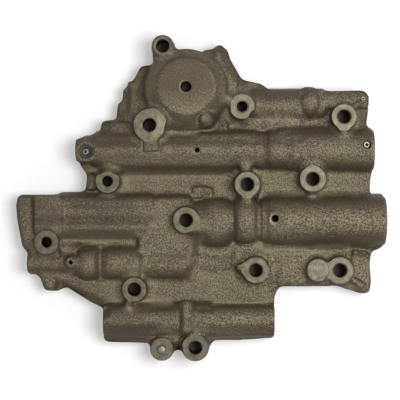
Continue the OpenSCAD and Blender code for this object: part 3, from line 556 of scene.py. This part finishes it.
# The raw casting: holes filled and stock left below the sole
bm = bmesh.new()
bm.from_mesh(NODES["casting"].data)
bmesh.ops.remove_doubles(bm, verts=bm.verts, dist=1e-6)
for v in bm.verts:
    if v.co.z < 1e-6:
        v.co.z = -SOLE_STOCK * MM
fill = [linked("raw", bm)]
for x, y, face, hole, spot in BOLTS:
    stem, r, cap, top = hole / 2 + 1, spot + BOSS_RIM, face - BOSS_CAP, face + FACE_STOCK
    profile = [(0, -SOLE_STOCK), (stem, -SOLE_STOCK), (stem, cap), (r, cap), (r, top), (0, top)]
    fill.append(turned("fill", profile, (x, y, 0), segments=48))
x, y, face, spot = PADS[0]
fill.append(turned("fill", bar(spot + BOSS_RIM, 10, face + FACE_STOCK), (x, y, 0)))
for x, y, top, r in LUMPS:
    fill.append(turned("fill", bar(r, 5, top), (x, y, 0), segments=48))
for y, z, wide, *steps in SWOLLEN:
    profile = [(0, steps[0][0])] + [(r, x) for x, r in steps] + [(0, steps[-1][0])]
    swollen = turned("fill", profile, (0, 0, 0), "X")
    swollen.data.transform(Matrix.Translation((0, y * MM, z * MM)) @ Matrix.Diagonal((1, wide, 1, 1)))
    fill.append(swollen)
for (y, z, r), end, mouth in BORES:
    a, b = min(end, mouth), max(end, mouth)
    fill.append(turned("fill", bar(r + SPARE, 0, b - a), (a, y, z), "X"))
for x, y, low, top, _, r, _, wide in DRILLED:
    low, r = max(low, -SOLE_STOCK), max(r, wide) + SPARE
    fill.append(turned("fill", bar(r, low, top), (x, y, 0), segments=48))
r, rim, roof = POCKET_R + SPARE, GUIDE_R + 2.4, POCKET_H + SPARE
profile = [(0, -SOLE_STOCK), (r, -SOLE_STOCK), (r, roof), (rim, roof), (rim, DOME_TOP), (0, DOME_TOP)]
fill.append(turned("fill", profile, (*POCKET, 0)))
casting = joined("casting_iron", fill)
skin = casting.modifiers.new("skin", "REMESH")
skin.mode = "VOXEL"
skin.voxel_size = SKIN_VOXEL * MM
settle(casting)
points = arrays(casting.data)[0]
for (x0, y0, x1, y1), level in SHELVES:
    flat = ((points[:, :2] > (x0 * MM, y0 * MM)) & (points[:, :2] < (x1 * MM, y1 * MM))).all(1)
    points[:, 2] = np.where(flat, np.minimum(points[:, 2], level * MM), points[:, 2])
start, end, r, outer = NARROWED
out = points[:, 1:] - (BORE_12[0] * MM, BORE_12[1] * MM)
far = np.linalg.norm(out, axis=1)
inside = (points[:, 0] > start * MM) & (points[:, 0] < end * MM) & (out[:, 1] > 0)
inside &= (far > r * MM) & (far < outer * MM)
points[inside, 1:] -= (out * (1 - r * MM / far)[:, None])[inside]
moved(casting.data, points)
fillet(casting.data, FILLET_ROUNDS, OUTER_SHARE)
points, normals, edges, count = arrays(casting.data)
# The dome's shoulder falls away towards the ridge below it
reach = points[:, :2] / MM - POCKET
far = np.linalg.norm(reach, axis=1)
slope = SHOULDER_TOP - SHOULDER_FALL * (far - SHOULDER_R)
slope += KNOB_RISE * np.clip(2 * beside(points, KNOB_REACH, KNOB_SPOT), 0, 1)
below = np.clip(-2.5 * reach[:, 1] / far - 0.5, 0, 1) * (far < 27)
below = below * np.clip(np.linalg.norm(points[:, :2] / MM - BOLTS[1][:2], axis=1) / 2 - 5.5, 0, 1)
points[:, 2] -= MM * below * np.clip(points[:, 2] / MM - slope, 0, None)
# Bosses lean in to the edge of their spot faces
for x, y, _, _, spot in BOLTS[1:-1]:
    way = points[:, :2] / MM - (x, y)
    far = np.linalg.norm(way, axis=1)
    near = np.clip((spot + LEAN_REACH - far) / 2, 0, 1)
    share = near * np.clip((points[:, 2] / MM - LEAN_FROM) / 4, 0, 1) * (far > spot - 2)
    points[:, :2] -= MM * BOSS_LEAN * share[:, None] * way / np.maximum(far, 1)[:, None]
# Some steps are eased further
share = np.zeros(len(points))
for width, *line in EASED:
    share = np.maximum(share, np.clip(2 * beside(points, width, line), 0, 1) * (normals[:, 2] > -0.2))
some = edges[(share[edges] > 0).any(1)]
for _ in range(EASE_ROUNDS):
    points = points + 0.5 * share[:, None] * lean(points, some, count)
moved(casting.data, points)
# Relief stays clear of the bosses
points, normals = arrays(casting.data)[:2]
lift = np.zeros(len(points))
for width, height, *line in RELIEF:
    lift += hump(height, beside(points, width, line))
for x, y, _, _, spot in BOLTS:
    lift *= np.clip(np.linalg.norm(points[:, :2] / MM - (x, y), axis=1) / 2 - spot / 2 + 0.5, 0, 1)
points[:, 2] += lift * MM * np.clip(normals[:, 2] * 1.5, 0, 1)
moved(casting.data, points)
# The sand's own unevenness, kept inside the solid's box
points, normals = arrays(casting.data)[:2]
swell = [0.10 * noise.noise(Vector(p) * 130) + 0.05 * noise.noise(Vector(p) * 450) for p in points]
points = points + normals * (np.array(swell) * MM)[:, None]
margin = BOX_MARGIN * MM
points = np.clip(points, (cad_low[0] + margin, cad_low[1] + margin, -1), np.array(cad_high) - margin)
moved(casting.data, points)
thin = casting.modifiers.new("thin", "DECIMATE")
thin.ratio = SKIN_TRIANGLES / (2 * len(casting.data.polygons))
settle(casting)
casting.data.materials.clear()
casting.data.materials.append(iron)

# Machining: sole, spot faces, bolt holes, bores, drilled holes and pocket
bm = bmesh.new()
below_sole = Matrix.Translation((0, 0, -0.01)) @ Matrix.Diagonal((0.3, 0.3, 0.02, 1))
bmesh.ops.create_cube(bm, size=1, matrix=below_sole)
machine(casting, [linked("sole", bm)], bright)
faces, holes = [], []
for x, y, face, hole, spot in BOLTS:
    r, sink, spot = hole / 2, face - CHAMFER / 2, spot + FACE_REACH
    profile = [(0, sink), (r - LAP, sink), (r + CHAMFER, face), (spot, face), (spot, SKY), (0, SKY)]
    faces.append(turned("tool", profile, (x, y, 0)))
    holes.append(turned("tool", bar(r, UNDER, face), (x, y, 0)))
machine(casting, faces, bright)
machine(casting, holes, drilled)
machine(casting, [turned("tool", bar(r, face, SKY), (x, y, 0)) for x, y, face, r in PADS], bright)
bores = []
for bore, end, mouth in BORES:
    y, z, r = bore
    sign = 1 if mouth > end else -1
    length = abs(mouth - end)
    lip, past = r + MOUTH_LIP, length + RUN_OUT
    start = [(0, 0), (r, 0)]
    if bore == BORE_MANUAL:
        start = [(0, -RUN_OUT), (lip, -RUN_OUT), (lip, -0.2), (r, 0.5)]
    profile = start + [(r, length - 0.5), (lip, length + 0.2), (lip, past), (0, past)]
    bores.append(turned("tool", [(a, sign * h) for a, h in profile], (end, y, z), "X"))
machine(casting, bores, bright)
for x, y, _, top, _, r, floor, wide in DRILLED:
    if wide:
        profile = [(0, floor), (r - LAP, floor), (wide, top - 0.2), (wide, SKY), (0, SKY)]
        machine(casting, [turned("tool", profile, (x, y, 0))], drilled if wide > 4 else bright)
holes = [turned("tool", bar(r, a, b), (x, y, 0), segments=48) for x, y, a, _, b, r, *_ in DRILLED]
machine(casting, holes, drilled)
rim, flare_r = DOME_TOP - 0.9, GUIDE_R + 1.0
profile = [(0, rim), (GUIDE_R - LAP, rim), (flare_r, rim + 0.4), (flare_r, SKY), (0, SKY)]
machine(casting, [turned("tool", profile, (*POCKET, 0))], bright)
profile = [(0, UNDER), (POCKET_R, UNDER), (POCKET_R, POCKET_H), (HUB_R, POCKET_H), (HUB_R, HUB_Z),
           (GUIDE_R, HUB_Z), (GUIDE_R, SKY), (0, SKY)]
machine(casting, [turned("tool", profile, (*POCKET, 0))], drilled)
# What the material reads at each point: how hollow the skin is there, and its painted light and shade
mesh = casting.data
mesh.attributes.new("hollow", "FLOAT", "POINT")
mesh.attributes["hollow"].data.foreach_set(
    "value", 0.8 * hollowness(mesh, 8, 0.3) + 0.25 * hollowness(mesh, 30, 0.8))
points = arrays(mesh)[0]
stain_and_painted_light = np.zeros(len(points))
for width, tone, *line in PAINTED_LIGHT_AND_SHADE:
    stain_and_painted_light += hump(tone, beside(points, width, line))
mesh.attributes.new("stain_and_painted_light", "FLOAT", "POINT")
mesh.attributes["stain_and_painted_light"].data.foreach_set("value", stain_and_painted_light)


def finished(piece, body, slot, *nodes):
    """Smooth shading with crisp edges and flat cut faces, then hides the solids it stands for and hangs it on
    its body; slot is not used.
    """
    piece.data.shade_smooth()
    piece.data.set_sharp_from_angle(angle=math.radians(CRISP))
    for face in piece.data.polygons:
        face.use_smooth = piece.data.materials[face.material_index] != bright or abs(face.normal.z) < 0.8
    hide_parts(*nodes)
    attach(piece, body)


finished(casting, "body", "cast_iron", "casting")

# Locating dowel: a ground steel stub pressed into the boss beside the bottom lug.
# Its crowned end stands a little above the boss and sets the cover in place.


def steel(name, dark, light, roughness, scale, marks=0.0):
    """Bare metal with stains, and turning marks along X where asked."""
    material, tree, bsdf = shader(name, roughness, 1.0)
    place = add(tree, "TexCoord").outputs["Object"]
    stain_and_painted_light = speckle(tree, place, scale, 4, 0.0, 1.0, rough=0.6)
    tone = stain_and_painted_light
    if marks:
        along = add(tree, "SeparateXYZ", [(0, place)]).outputs[0]
        lines = calc(tree, "SINE", calc(tree, "MULTIPLY", along, marks))
        tone = calc(tree, "MULTIPLY_ADD", lines, 0.12, stain_and_painted_light)
        bumped(tree, bsdf, lines, 0.15, 0.00003)
    else:
        bumped(tree, bsdf, stain_and_painted_light, 0.15, 0.00005)
    coloured(tree, bsdf, tone, (0, dark), (1, light))
    return material


pin_steel = steel("pin_steel", (0.10, 0.09, 0.072), (0.26, 0.24, 0.20), 0.42, 600)
profile = [(0, 6.01), (2.1, 6.01), (2.49, 6.5), (2.49, 20.6), (2.35, 21.05), (1.9, 21.4), (1.2, 21.5),
           (0, 21.5)]
dowel = turned("locating_dowel_steel", profile, (*DOWEL, 0), segments=64)
dowel.data.materials.append(pin_steel)
finished(dowel, "body", "pin_steel", "locating_dowel")

# Valves: spools turned from steel bar and ground to run in their bores by hand's push.
# Lands have broken edges and balance grooves, and some ends carry a stop nub or a drilled hole.
# Clearance of a land in its bore; radius of a neck as a share of the land's, and how near its faces lie
RUN_GAP = 0.03
NECK, NECK_NEAR = 0.55, 0.05
# Broken edges, then balance grooves: pitch, shortest land with any, depth, half widths at top and floor
NUB_EDGE, LAND_EDGE = 0.3, 0.25
GROOVE_PITCH, GROOVED_LAND = 2.6, 3
GROOVE_DEEP, GROOVE_TOP, GROOVE_FLOOR = 0.25, 0.2, 0.14
# Name, x of the left end, bore, length, starts and ends of the lands as shares of it, then left and right
# end as radius and reach: a nub stands out by its reach, and a drilled hole's reach is negative
LANDED = [
    ("manual_valve", -50, BORE_MANUAL, 92,
     [0, 0.16, 0.27, 0.36, 0.52, 0.6, 0.72, 0.84, 0.9, 0.935, 0.972, 1], (1.82, -9), None),
    ("shift_12_valve", 5, BORE_12, 28, [0, 0.26, 0.44, 0.6, 0.8, 1], (3.4, 2.95), None),
    ("shift_12_detent_valve", 33.05, BORE_12, 22, [0.12, 0.4, 0.64, 1], None, (3.4, -4)),
    ("shift_23_valve", 41.5, BORE_23, 19, [0, 0.24, 0.42, 0.58, 0.74, 1], (2.8, 1.45), None),
    ("valve_32", 41, BORE_32, 17, [0, 0.3, 0.62, 1], (1.6, 0.95), None),
    ("detent_valve", -33.05, BORE_DETENT, 40, [0, 0.2, 0.34, 0.48, 0.62, 0.74, 0.86, 0.97], (2.4, -5), None),
    ("detent_regulator_valve", 7, BORE_DETENT, 28, [0.06, 0.3, 0.5, 0.66, 0.8, 1], None, (2.4, 0.95)),
    ("accumulator_valve", -55, BORE_ACCUMULATOR, 21, [0, 0.3, 0.5, 0.64, 0.82, 1], None, (1.67, 0.95)),
]
# Name, x of the left end, bore, then radius and length of each step
STEMMED = [
    ("shift_12_regulator_valve", 77.1, BORE_12, [(7.31, 2.4), (3.74, 10.8), (5.27, 8.8)]),
    ("shift_23_modulator_valve", 68, BORE_23, [(6.16, 2), (4.0, 1.2), (4.48, 12.8)]),
]
valve_steel = steel("valve_steel", (0.24, 0.24, 0.245), (0.42, 0.42, 0.43), 0.3, 260, 9000.0)


def spool(steps, left, right):
    """Profile of a turned valve from its steps and ends."""
    ends = []
    for end in (left, right):
        if end is None:
            ends.append([(0, 0)])
        elif end[1] > 0:
            r, reach = end
            ends.append([(0, -reach), (r - NUB_EDGE, -reach), (r, NUB_EDGE - reach), (r, 0)])
        else:
            r, deep = end[0], -end[1]
            ends.append([(0, deep), (r, deep), (r, NUB_EDGE), (r + NUB_EDGE, 0)])
    profile, at = ends[0], 0.0
    for k, (r, long) in enumerate(steps):
        neighbours = [steps[n][0] for n in (k - 1, k + 1) if 0 <= n < len(steps)]
        if r < max(neighbours):
            profile = profile + [(r, at), (r, at + long)]
        else:
            profile = profile + [(r - LAND_EDGE, at), (r, at + LAND_EDGE)]
            grooves = int(long / GROOVE_PITCH) if long > GROOVED_LAND else 0
            for g in range(grooves):
                c, floor = at + long * (g + 1) / (grooves + 1), r - GROOVE_DEEP
                profile += [(r, c - GROOVE_TOP), (floor, c - GROOVE_FLOOR)]
                profile += [(floor, c + GROOVE_FLOOR), (r, c + GROOVE_TOP)]
            profile = profile + [(r, at + long - LAND_EDGE), (r - LAND_EDGE, at + long)]
        at += long
    return profile + [(r, at - h) for r, h in reversed(ends[1])]


# Nearly black steel for the necks and the sunk pins: painted shade deep in the bores and holes
painted_shade_steel = steel("painted_shade_steel", (0.012, 0.011, 0.010), (0.030, 0.028, 0.026), 0.6, 300, 9000.0)
for name, x, (y, z, bore_r), length, shares, left, right in LANDED:
    r = bore_r - RUN_GAP
    steps, at = [], 0.0
    for k in range(0, len(shares), 2):
        if shares[k] > at:
            steps.append((r * NECK, (shares[k] - at) * length))
        steps.append((r, (shares[k + 1] - shares[k]) * length))
        at = shares[k + 1]
    if at < 1:
        steps.append((r * NECK, (1 - at) * length))
    valve = turned(name + "_steel", spool(steps, left, right), (x, y, z), "X", 64)
    valve.data.materials.append(valve_steel)
    valve.data.materials.append(painted_shade_steel)
    # Neck faces take the nearly black steel, painted shade
    for face in valve.data.polygons:
        out = math.hypot(face.center.y / MM - y, face.center.z / MM - z)
        face.material_index = int(abs(out - r * NECK) < NECK_NEAR)
    finished(valve, name, "valve_steel", name)
for name, x, (y, z, _), steps in STEMMED:
    valve = turned(name + "_steel", spool(steps, None, None), (x, y, z), "X", 64)
    valve.data.materials.append(valve_steel)
    finished(valve, name, "valve_steel", name)

# Coil springs: hard drawn wire with closed end turns, one in each train and one on the piston.
# A node tree winds each one from its length, coil radius, wire and turns.
# Name, joint that presses it, x, y, z of its start, length, coil radius, wire, turns, travel, fixed end
SPRINGS = [
    ("shift_12_spring", "shift_12_slide", 55.05, *BORE_12[:2], 22.05, 5.61, 1.53, 7, 8, 77.1),
    ("shift_23_intermediate_spring", "shift_23_slide", 60.5, *BORE_23[:2], 7.5, 3.92, 1.008, 4, 4, 68),
    ("shift_23_spring", "shift_23_modulator_slide", 70, *BORE_23[:2], 8, 5.53, 1.008, 4, 3, 78),
    ("valve_32_spring", "valve_32_slide", 58, *BORE_32[:2], 24.85, 2.304, 0.806, 9, 4, 82.85),
    ("detent_spring", "detent_slide", -56.5, *BORE_DETENT[:2], 23.45, 4.32, 1.08, 7, 6, -56.5),
    ("accumulator_valve_spring", "accumulator_valve_slide", -72.5, *BORE_ACCUMULATOR[:2], 17.5, 2.736, 0.752,
     7, 6, -72.5),
    ("accumulator_spring", "accumulator_piston_slide", *POCKET, 5.15, 16.85, 11.31, 2, 4, 5.5, 22),
]
END_GAP = 0.02
POINTS_A_TURN, WIRE_SIDES = 28, 12
spring_steel = steel("spring_steel", (0.17, 0.165, 0.16), (0.36, 0.35, 0.33), 0.4, 800)
winder = bpy.data.node_groups.new("wound_spring", "GeometryNodeTree")
winder.interface.new_socket("Geometry", in_out="OUTPUT", socket_type="NodeSocketGeometry")
INPUT = {
    name: winder.interface.new_socket(name, in_out="INPUT", socket_type="NodeSocket" + kind).identifier
    for name, kind in [("Length", "Float"), ("Coil radius", "Float"), ("Wire", "Float"), ("Turns", "Float"),
                       ("Finish", "Material")]
}
given = winder.nodes.new("NodeGroupInput").outputs
wire, turns = given["Wire"], given["Turns"]


def geo(kind, **links):
    """New geometry node in the winder; links and numbers go to its sockets by name."""
    node = winder.nodes.new("GeometryNode" + kind)
    for key, source in links.items():
        socket = node.inputs[key.replace("_", " ")]
        if isinstance(source, bpy.types.NodeSocket):
            winder.links.new(source, socket)
        else:
            socket.default_value = source
    return node


line = geo("CurvePrimitiveLine").outputs[0]
points = calc(winder, "MULTIPLY_ADD", turns, POINTS_A_TURN, 1)
line = geo("ResampleCurve", Curve=line, Count=points).outputs[0]
turn = calc(winder, "MULTIPLY", geo("SplineParameter").outputs["Factor"], turns)
angle = calc(winder, "MULTIPLY", turn, 2 * math.pi)
# The first and last turn lie closed, and the turns between them share the rest of the length
free = calc(winder, "SUBTRACT", turns, 2.0)
pitch = calc(winder, "DIVIDE", calc(winder, "MULTIPLY_ADD", wire, -3.0, given["Length"]), free)
height = calc(winder, "MULTIPLY", wire, 0.5)
height = calc(winder, "MULTIPLY_ADD", wire, calc(winder, "MINIMUM", turn, 1.0), height)
past = calc(winder, "MINIMUM", calc(winder, "MAXIMUM", calc(winder, "SUBTRACT", turn, 1.0), 0.0), free)
height = calc(winder, "MULTIPLY_ADD", pitch, past, height)
last = calc(winder, "MAXIMUM", calc(winder, "SUBTRACT", turn, calc(winder, "SUBTRACT", turns, 1.0)), 0.0)
height = calc(winder, "MULTIPLY_ADD", wire, last, height)
right = calc(winder, "MULTIPLY", given["Coil radius"], calc(winder, "COSINE", angle))
back = calc(winder, "MULTIPLY", given["Coil radius"], calc(winder, "SINE", angle))
spot = add(winder, "CombineXYZ", [(0, right), (1, back), (2, height)]).outputs[0]
line = geo("SetPosition", Geometry=line, Position=spot).outputs[0]
wire_r = calc(winder, "MULTIPLY", wire, 0.5)
section = geo("CurvePrimitiveCircle", Resolution=WIRE_SIDES, Radius=wire_r).outputs[0]
wound = geo("CurveToMesh", Curve=line, Profile_Curve=section, Fill_Caps=True).outputs[0]
wound = geo("RealizeInstances", Geometry=wound).outputs[0]
wound = geo("SetMaterial", Geometry=wound, Material=given["Finish"]).outputs[0]
winder.links.new(wound, winder.nodes.new("NodeGroupOutput").inputs[0])
for name, joint, x, y, z, length, r, w, coils, travel, fixed in SPRINGS:
    spring = linked(name + "_wire", bmesh.new())
    wind = spring.modifiers.new("wind", "NODES")
    wind.node_group = winder
    for key, value in [("Length", (length - 2 * END_GAP) * MM), ("Coil radius", r * MM), ("Wire", w * MM),
                       ("Turns", float(coils)), ("Finish", spring_steel)]:
        wind[INPUT[key]] = value
    settle(spring)
    upright = name == "accumulator_spring"
    lie = Matrix.Identity(4) if upright else Matrix.Rotation(math.radians(90), 4, "Y")
    start = Vector((x, y, z + END_GAP)) if upright else Vector((x + END_GAP, y, z))
    spring.data.transform(Matrix.Translation(start * MM) @ lie)
    finished(spring, "body", "spring_steel", name)
    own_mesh(spring)

# Bushings, spacer and bore plugs: turned from steel bar, slid into the bore mouths.
# Bushings are bored to guide a stem; a cross hole takes the pin that keeps each one in.
# Clearance of a piece that sits still, and the broken edge of a plug
SEAT_GAP = 0.01
PLUG_EDGE = 0.4
# Name, x of the left end, bore that it sits in, length, its own bore's radius and depth, pin, cross hole's
# radius, slot
STOPPED = [
    ("shift_12_bushing", 84, BORE_12, 25, 5.30, 18.8, PIN_12, 2.01, "plug_steel"),
    ("shift_23_bushing", 78, BORE_23, 24, 4.51, 11, PIN_23, 2.01, "plug_steel"),
    ("valve_32_spacer", 82.85, BORE_32, 7, 0, 0, None, 0, "valve_steel"),
    ("valve_32_plug", 89.9, BORE_32, 9.6, 0, 0, PIN_32, 1.31, "plug_steel"),
    ("detent_plug", -72.5, BORE_DETENT, 16, 0, 0, PIN_DETENT, 2.01, "plug_steel"),
    ("accumulator_valve_plug", -88.5, BORE_ACCUMULATOR, 16, 0, 0, PIN_ACCUMULATOR, 1.31, "plug_steel"),
]
plug_steel = steel("plug_steel", (0.27, 0.255, 0.225), (0.52, 0.50, 0.45), 0.38, 320, 7000.0)
for name, x, (y, z, bore_r), length, inner, deep, pin_at, hole_r, slot in STOPPED:
    r = bore_r - SEAT_GAP
    dimple = r * 0.22
    profile = [(0, dimple), (dimple, 0)]
    if inner:
        profile = [(0, deep), (inner, deep), (inner, PLUG_EDGE), (inner + PLUG_EDGE, 0)]
    profile += [(r - PLUG_EDGE, 0), (r, PLUG_EDGE), (r, length - PLUG_EDGE), (r - PLUG_EDGE, length)]
    profile += [(dimple, length), (0, length - dimple)]
    plug = turned(name + "_steel", profile, (x, y, z), "X", 80)
    plug.data.materials.append(plug_steel)
    if pin_at:
        drill = turned("tool", bar(hole_r, UNDER, SKY), (*pin_at, 0), segments=40)
        machine(plug, [drill], plug_steel)
    finished(plug, "body", slot, name)

# Retaining pins: slotted tubes rolled from spring strip, pushed up across the bore mouths.
# Each one is pinched a little at both ends so that it starts easily in its hole.
# Name, x, y, bottom, top, diameter
PINS = [
    ("shift_12_retaining_pin", *PIN_12, 1.2, 25.5, 4.0),
    ("shift_23_retaining_pin", *PIN_23, 2.0, 23.9, 4.0),
    ("valve_32_retaining_pin", *PIN_32, 2.0, 18.6, 2.6),
    ("detent_retaining_pin", *PIN_DETENT, 2.0, 21.7, 4.0),
    ("accumulator_valve_retaining_pin", *PIN_ACCUMULATOR, 2.0, 16.1, 2.6),
]
# A pin that ends below this height lies deep in its hole and gets painted shade
SUNK = 17.0
# Gap of the rolled strip in degrees
PIN_SLOT = 22


def rolled(name, loop, place, gap, segments):
    """Closed (radius, height) loop in mm turned about Z, with a gap in degrees left open on +X."""
    bm = bmesh.new()
    count = segments + 1 if gap else segments
    spread = math.radians(360 - gap)
    rows = []
    for k in range(count):
        a = math.radians(gap / 2) + spread * k / segments
        rows.append([bm.verts.new((r * MM * math.cos(a), r * MM * math.sin(a), h * MM)) for r, h in loop])
    for k in range(segments):
        here, there = rows[k], rows[(k + 1) % count]
        for i in range(len(loop)):
            n = (i + 1) % len(loop)
            bm.faces.new([here[i], here[n], there[n], there[i]])
    if gap:
        bm.faces.new(rows[0])
        bm.faces.new(rows[-1])
    bmesh.ops.recalc_face_normals(bm, faces=bm.faces)
    bm.transform(Matrix.Translation(Vector(place) * MM))
    return linked(name, bm)


for name, x, y, low, high, d in PINS:
    r, inner, pinch = d / 2 - SEAT_GAP, d * 0.25, d * 0.09
    loop = [(inner, low), (r - pinch, low), (r, low + 2 * pinch), (r, high - 2 * pinch),
            (r - pinch * 0.35, high - pinch * 0.7), (r - pinch, high), (inner, high)]
    pin = rolled(name + "_steel", loop, (x, y, 0), PIN_SLOT, 48)
    pin.data.materials.append(pin_steel if high > SUNK else painted_shade_steel)
    finished(pin, "body", "pin_steel", name)

# Accumulator: a turned aluminium piston with an iron ring slides on a steel guide pin.
# The pin is pressed into the dome's hub, and a spring clip in its groove keeps the piston on.
piston_aluminium = steel("piston_aluminium", (0.55, 0.56, 0.57), (0.76, 0.77, 0.78), 0.35, 240)
loop = [(3.33, 3.65), (3.63, 3.35), (18.9, 3.35), (19.42, 3.85), (19.42, 5.37), (17.8, 5.37), (17.8, 7.33),
        (19.42, 7.33), (19.42, 9.0), (19.07, 9.35), (16.2, 9.35), (15.9, 9.05), (15.9, 5.65), (15.4, 5.15),
        (6.4, 5.15), (5.9, 5.65), (5.9, 9.1), (5.65, 9.35), (3.63, 9.35), (3.33, 9.05)]
piston = rolled("accumulator_piston_aluminium", loop, (*POCKET, 0), 0, 128)
piston.data.materials.append(piston_aluminium)
finished(piston, "accumulator_piston", "piston_aluminium", "accumulator_piston")
ring_iron = steel("ring_iron", (0.035, 0.035, 0.037), (0.10, 0.10, 0.105), 0.45, 500)
loop = [(17.85, 5.4), (19.35, 5.4), (19.47, 5.52), (19.47, 7.18), (19.35, 7.3), (17.85, 7.3)]
ring = rolled("accumulator_piston_ring_iron", loop, (*POCKET, 0), 1.2, 128)
ring.data.materials.append(ring_iron)
finished(ring, "accumulator_piston", "ring_iron", "accumulator_piston_ring")
profile = [(0, 1.2), (2.7, 1.2), (3.0, 1.4), (3.29, 1.8), (3.29, 2.57), (2.5, 2.57), (2.5, 3.33),
           (3.29, 3.33), (3.29, 18.9), (2.9, 19.5), (0, 19.5)]
guide = turned("accumulator_pin_steel", profile, (*POCKET, 0), segments=64)
# The guide pin is nearly black: painted shade deep in the dome's hole
painted_shade_guide_steel = steel("painted_shade_guide_steel", (0.012, 0.010, 0.009), (0.032, 0.028, 0.024), 0.6, 500)
guide.data.materials.append(painted_shade_guide_steel)
finished(guide, "body", "pin_steel", "accumulator_pin")
loop = [(2.52, 2.6), (5.1, 2.6), (5.3, 2.75), (5.3, 3.15), (5.1, 3.3), (2.52, 3.3)]
clip = rolled("accumulator_clip_steel", loop, (*POCKET, 0), 72, 60)
clip.data.materials.append(spring_steel)
finished(clip, "body", "pin_steel", "accumulator_clip")

# Studio: a white table, a soft key light from the upper right and a pale surround.
# The camera hangs a metre above the part and looks straight down, as in the photograph.


def seen(tree):
    """1 where the camera looks, straight or by way of gloss and glass."""
    path = add(tree, "LightPath").outputs
    straight = calc(tree, "MAXIMUM", path["Is Camera Ray"], path["Is Glossy Ray"])
    return calc(tree, "MAXIMUM", straight, path["Is Transmission Ray"])


bm = bmesh.new()
bmesh.ops.create_grid(bm, x_segments=1, y_segments=1, size=12)
for v in bm.verts:
    v.co.z = -0.0004
table = linked("table", bm)
white, tree, bsdf = shader("white_table", 0.9, 0.0)
bsdf.inputs["Base Color"].default_value = (0.8, 0.8, 0.8, 1)
bsdf.inputs["Specular IOR Level"].default_value = 0.0
place = add(tree, "TexCoord").outputs["Object"]
glow = ranged(tree, away(tree, place, 0, 0), 0.2, 1.2, 0.32, 0.75)
bsdf.inputs["Emission Color"].default_value = (1, 1, 1, 1)
tree.links.new(calc(tree, "MULTIPLY", seen(tree), glow), bsdf.inputs["Emission Strength"])
table.data.materials.append(white)
table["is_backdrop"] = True
# Dark discs on the table under the bolt holes: painted shade seen through the holes
shade, tree, bsdf = shader("hole_shade", 0.9, 0.0)
bsdf.inputs["Base Color"].default_value = (0.28, 0.21, 0.19, 1)
bsdf.inputs["Specular IOR Level"].default_value = 0.0
discs = [turned("disc", bar(hole / 2 + 1, -0.35, -0.3), (x, y, 0), segments=32) for x, y, _, hole, _ in BOLTS]
grounds = joined("hole_shade", discs)
grounds.data.materials.append(shade)
grounds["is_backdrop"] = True

world = bpy.data.worlds.new("studio")
bpy.context.scene.world = world
world.use_nodes = True
tree = world.node_tree
sky = tree.nodes["Background"]
sky.inputs[0].default_value = (1, 1, 1, 1)
tree.links.new(calc(tree, "MULTIPLY_ADD", seen(tree), 0.6, 0.4), sky.inputs[1])
key = bpy.data.lights.new("key", "AREA")
key.energy = 5.2
key.size = 0.4
key_at = bpy.data.objects.new("key", key)
key_at.location = (0.32, 0.03, 0.85)
key_at.rotation_euler = (Vector((0, 0, 0)) - key_at.location).to_track_quat("-Z", "Y").to_euler()
bpy.context.scene.collection.objects.link(key_at)
camera = bpy.data.cameras.new("camera")
camera.lens = 147.75
camera.sensor_width = 36
camera_at = bpy.data.objects.new("camera", camera)
camera_at.location = (-0.0003, -0.0012, 1.0)
bpy.context.scene.collection.objects.link(camera_at)
bpy.context.scene.camera = camera_at
bpy.context.scene.view_settings.view_transform = "Standard"

low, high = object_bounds()
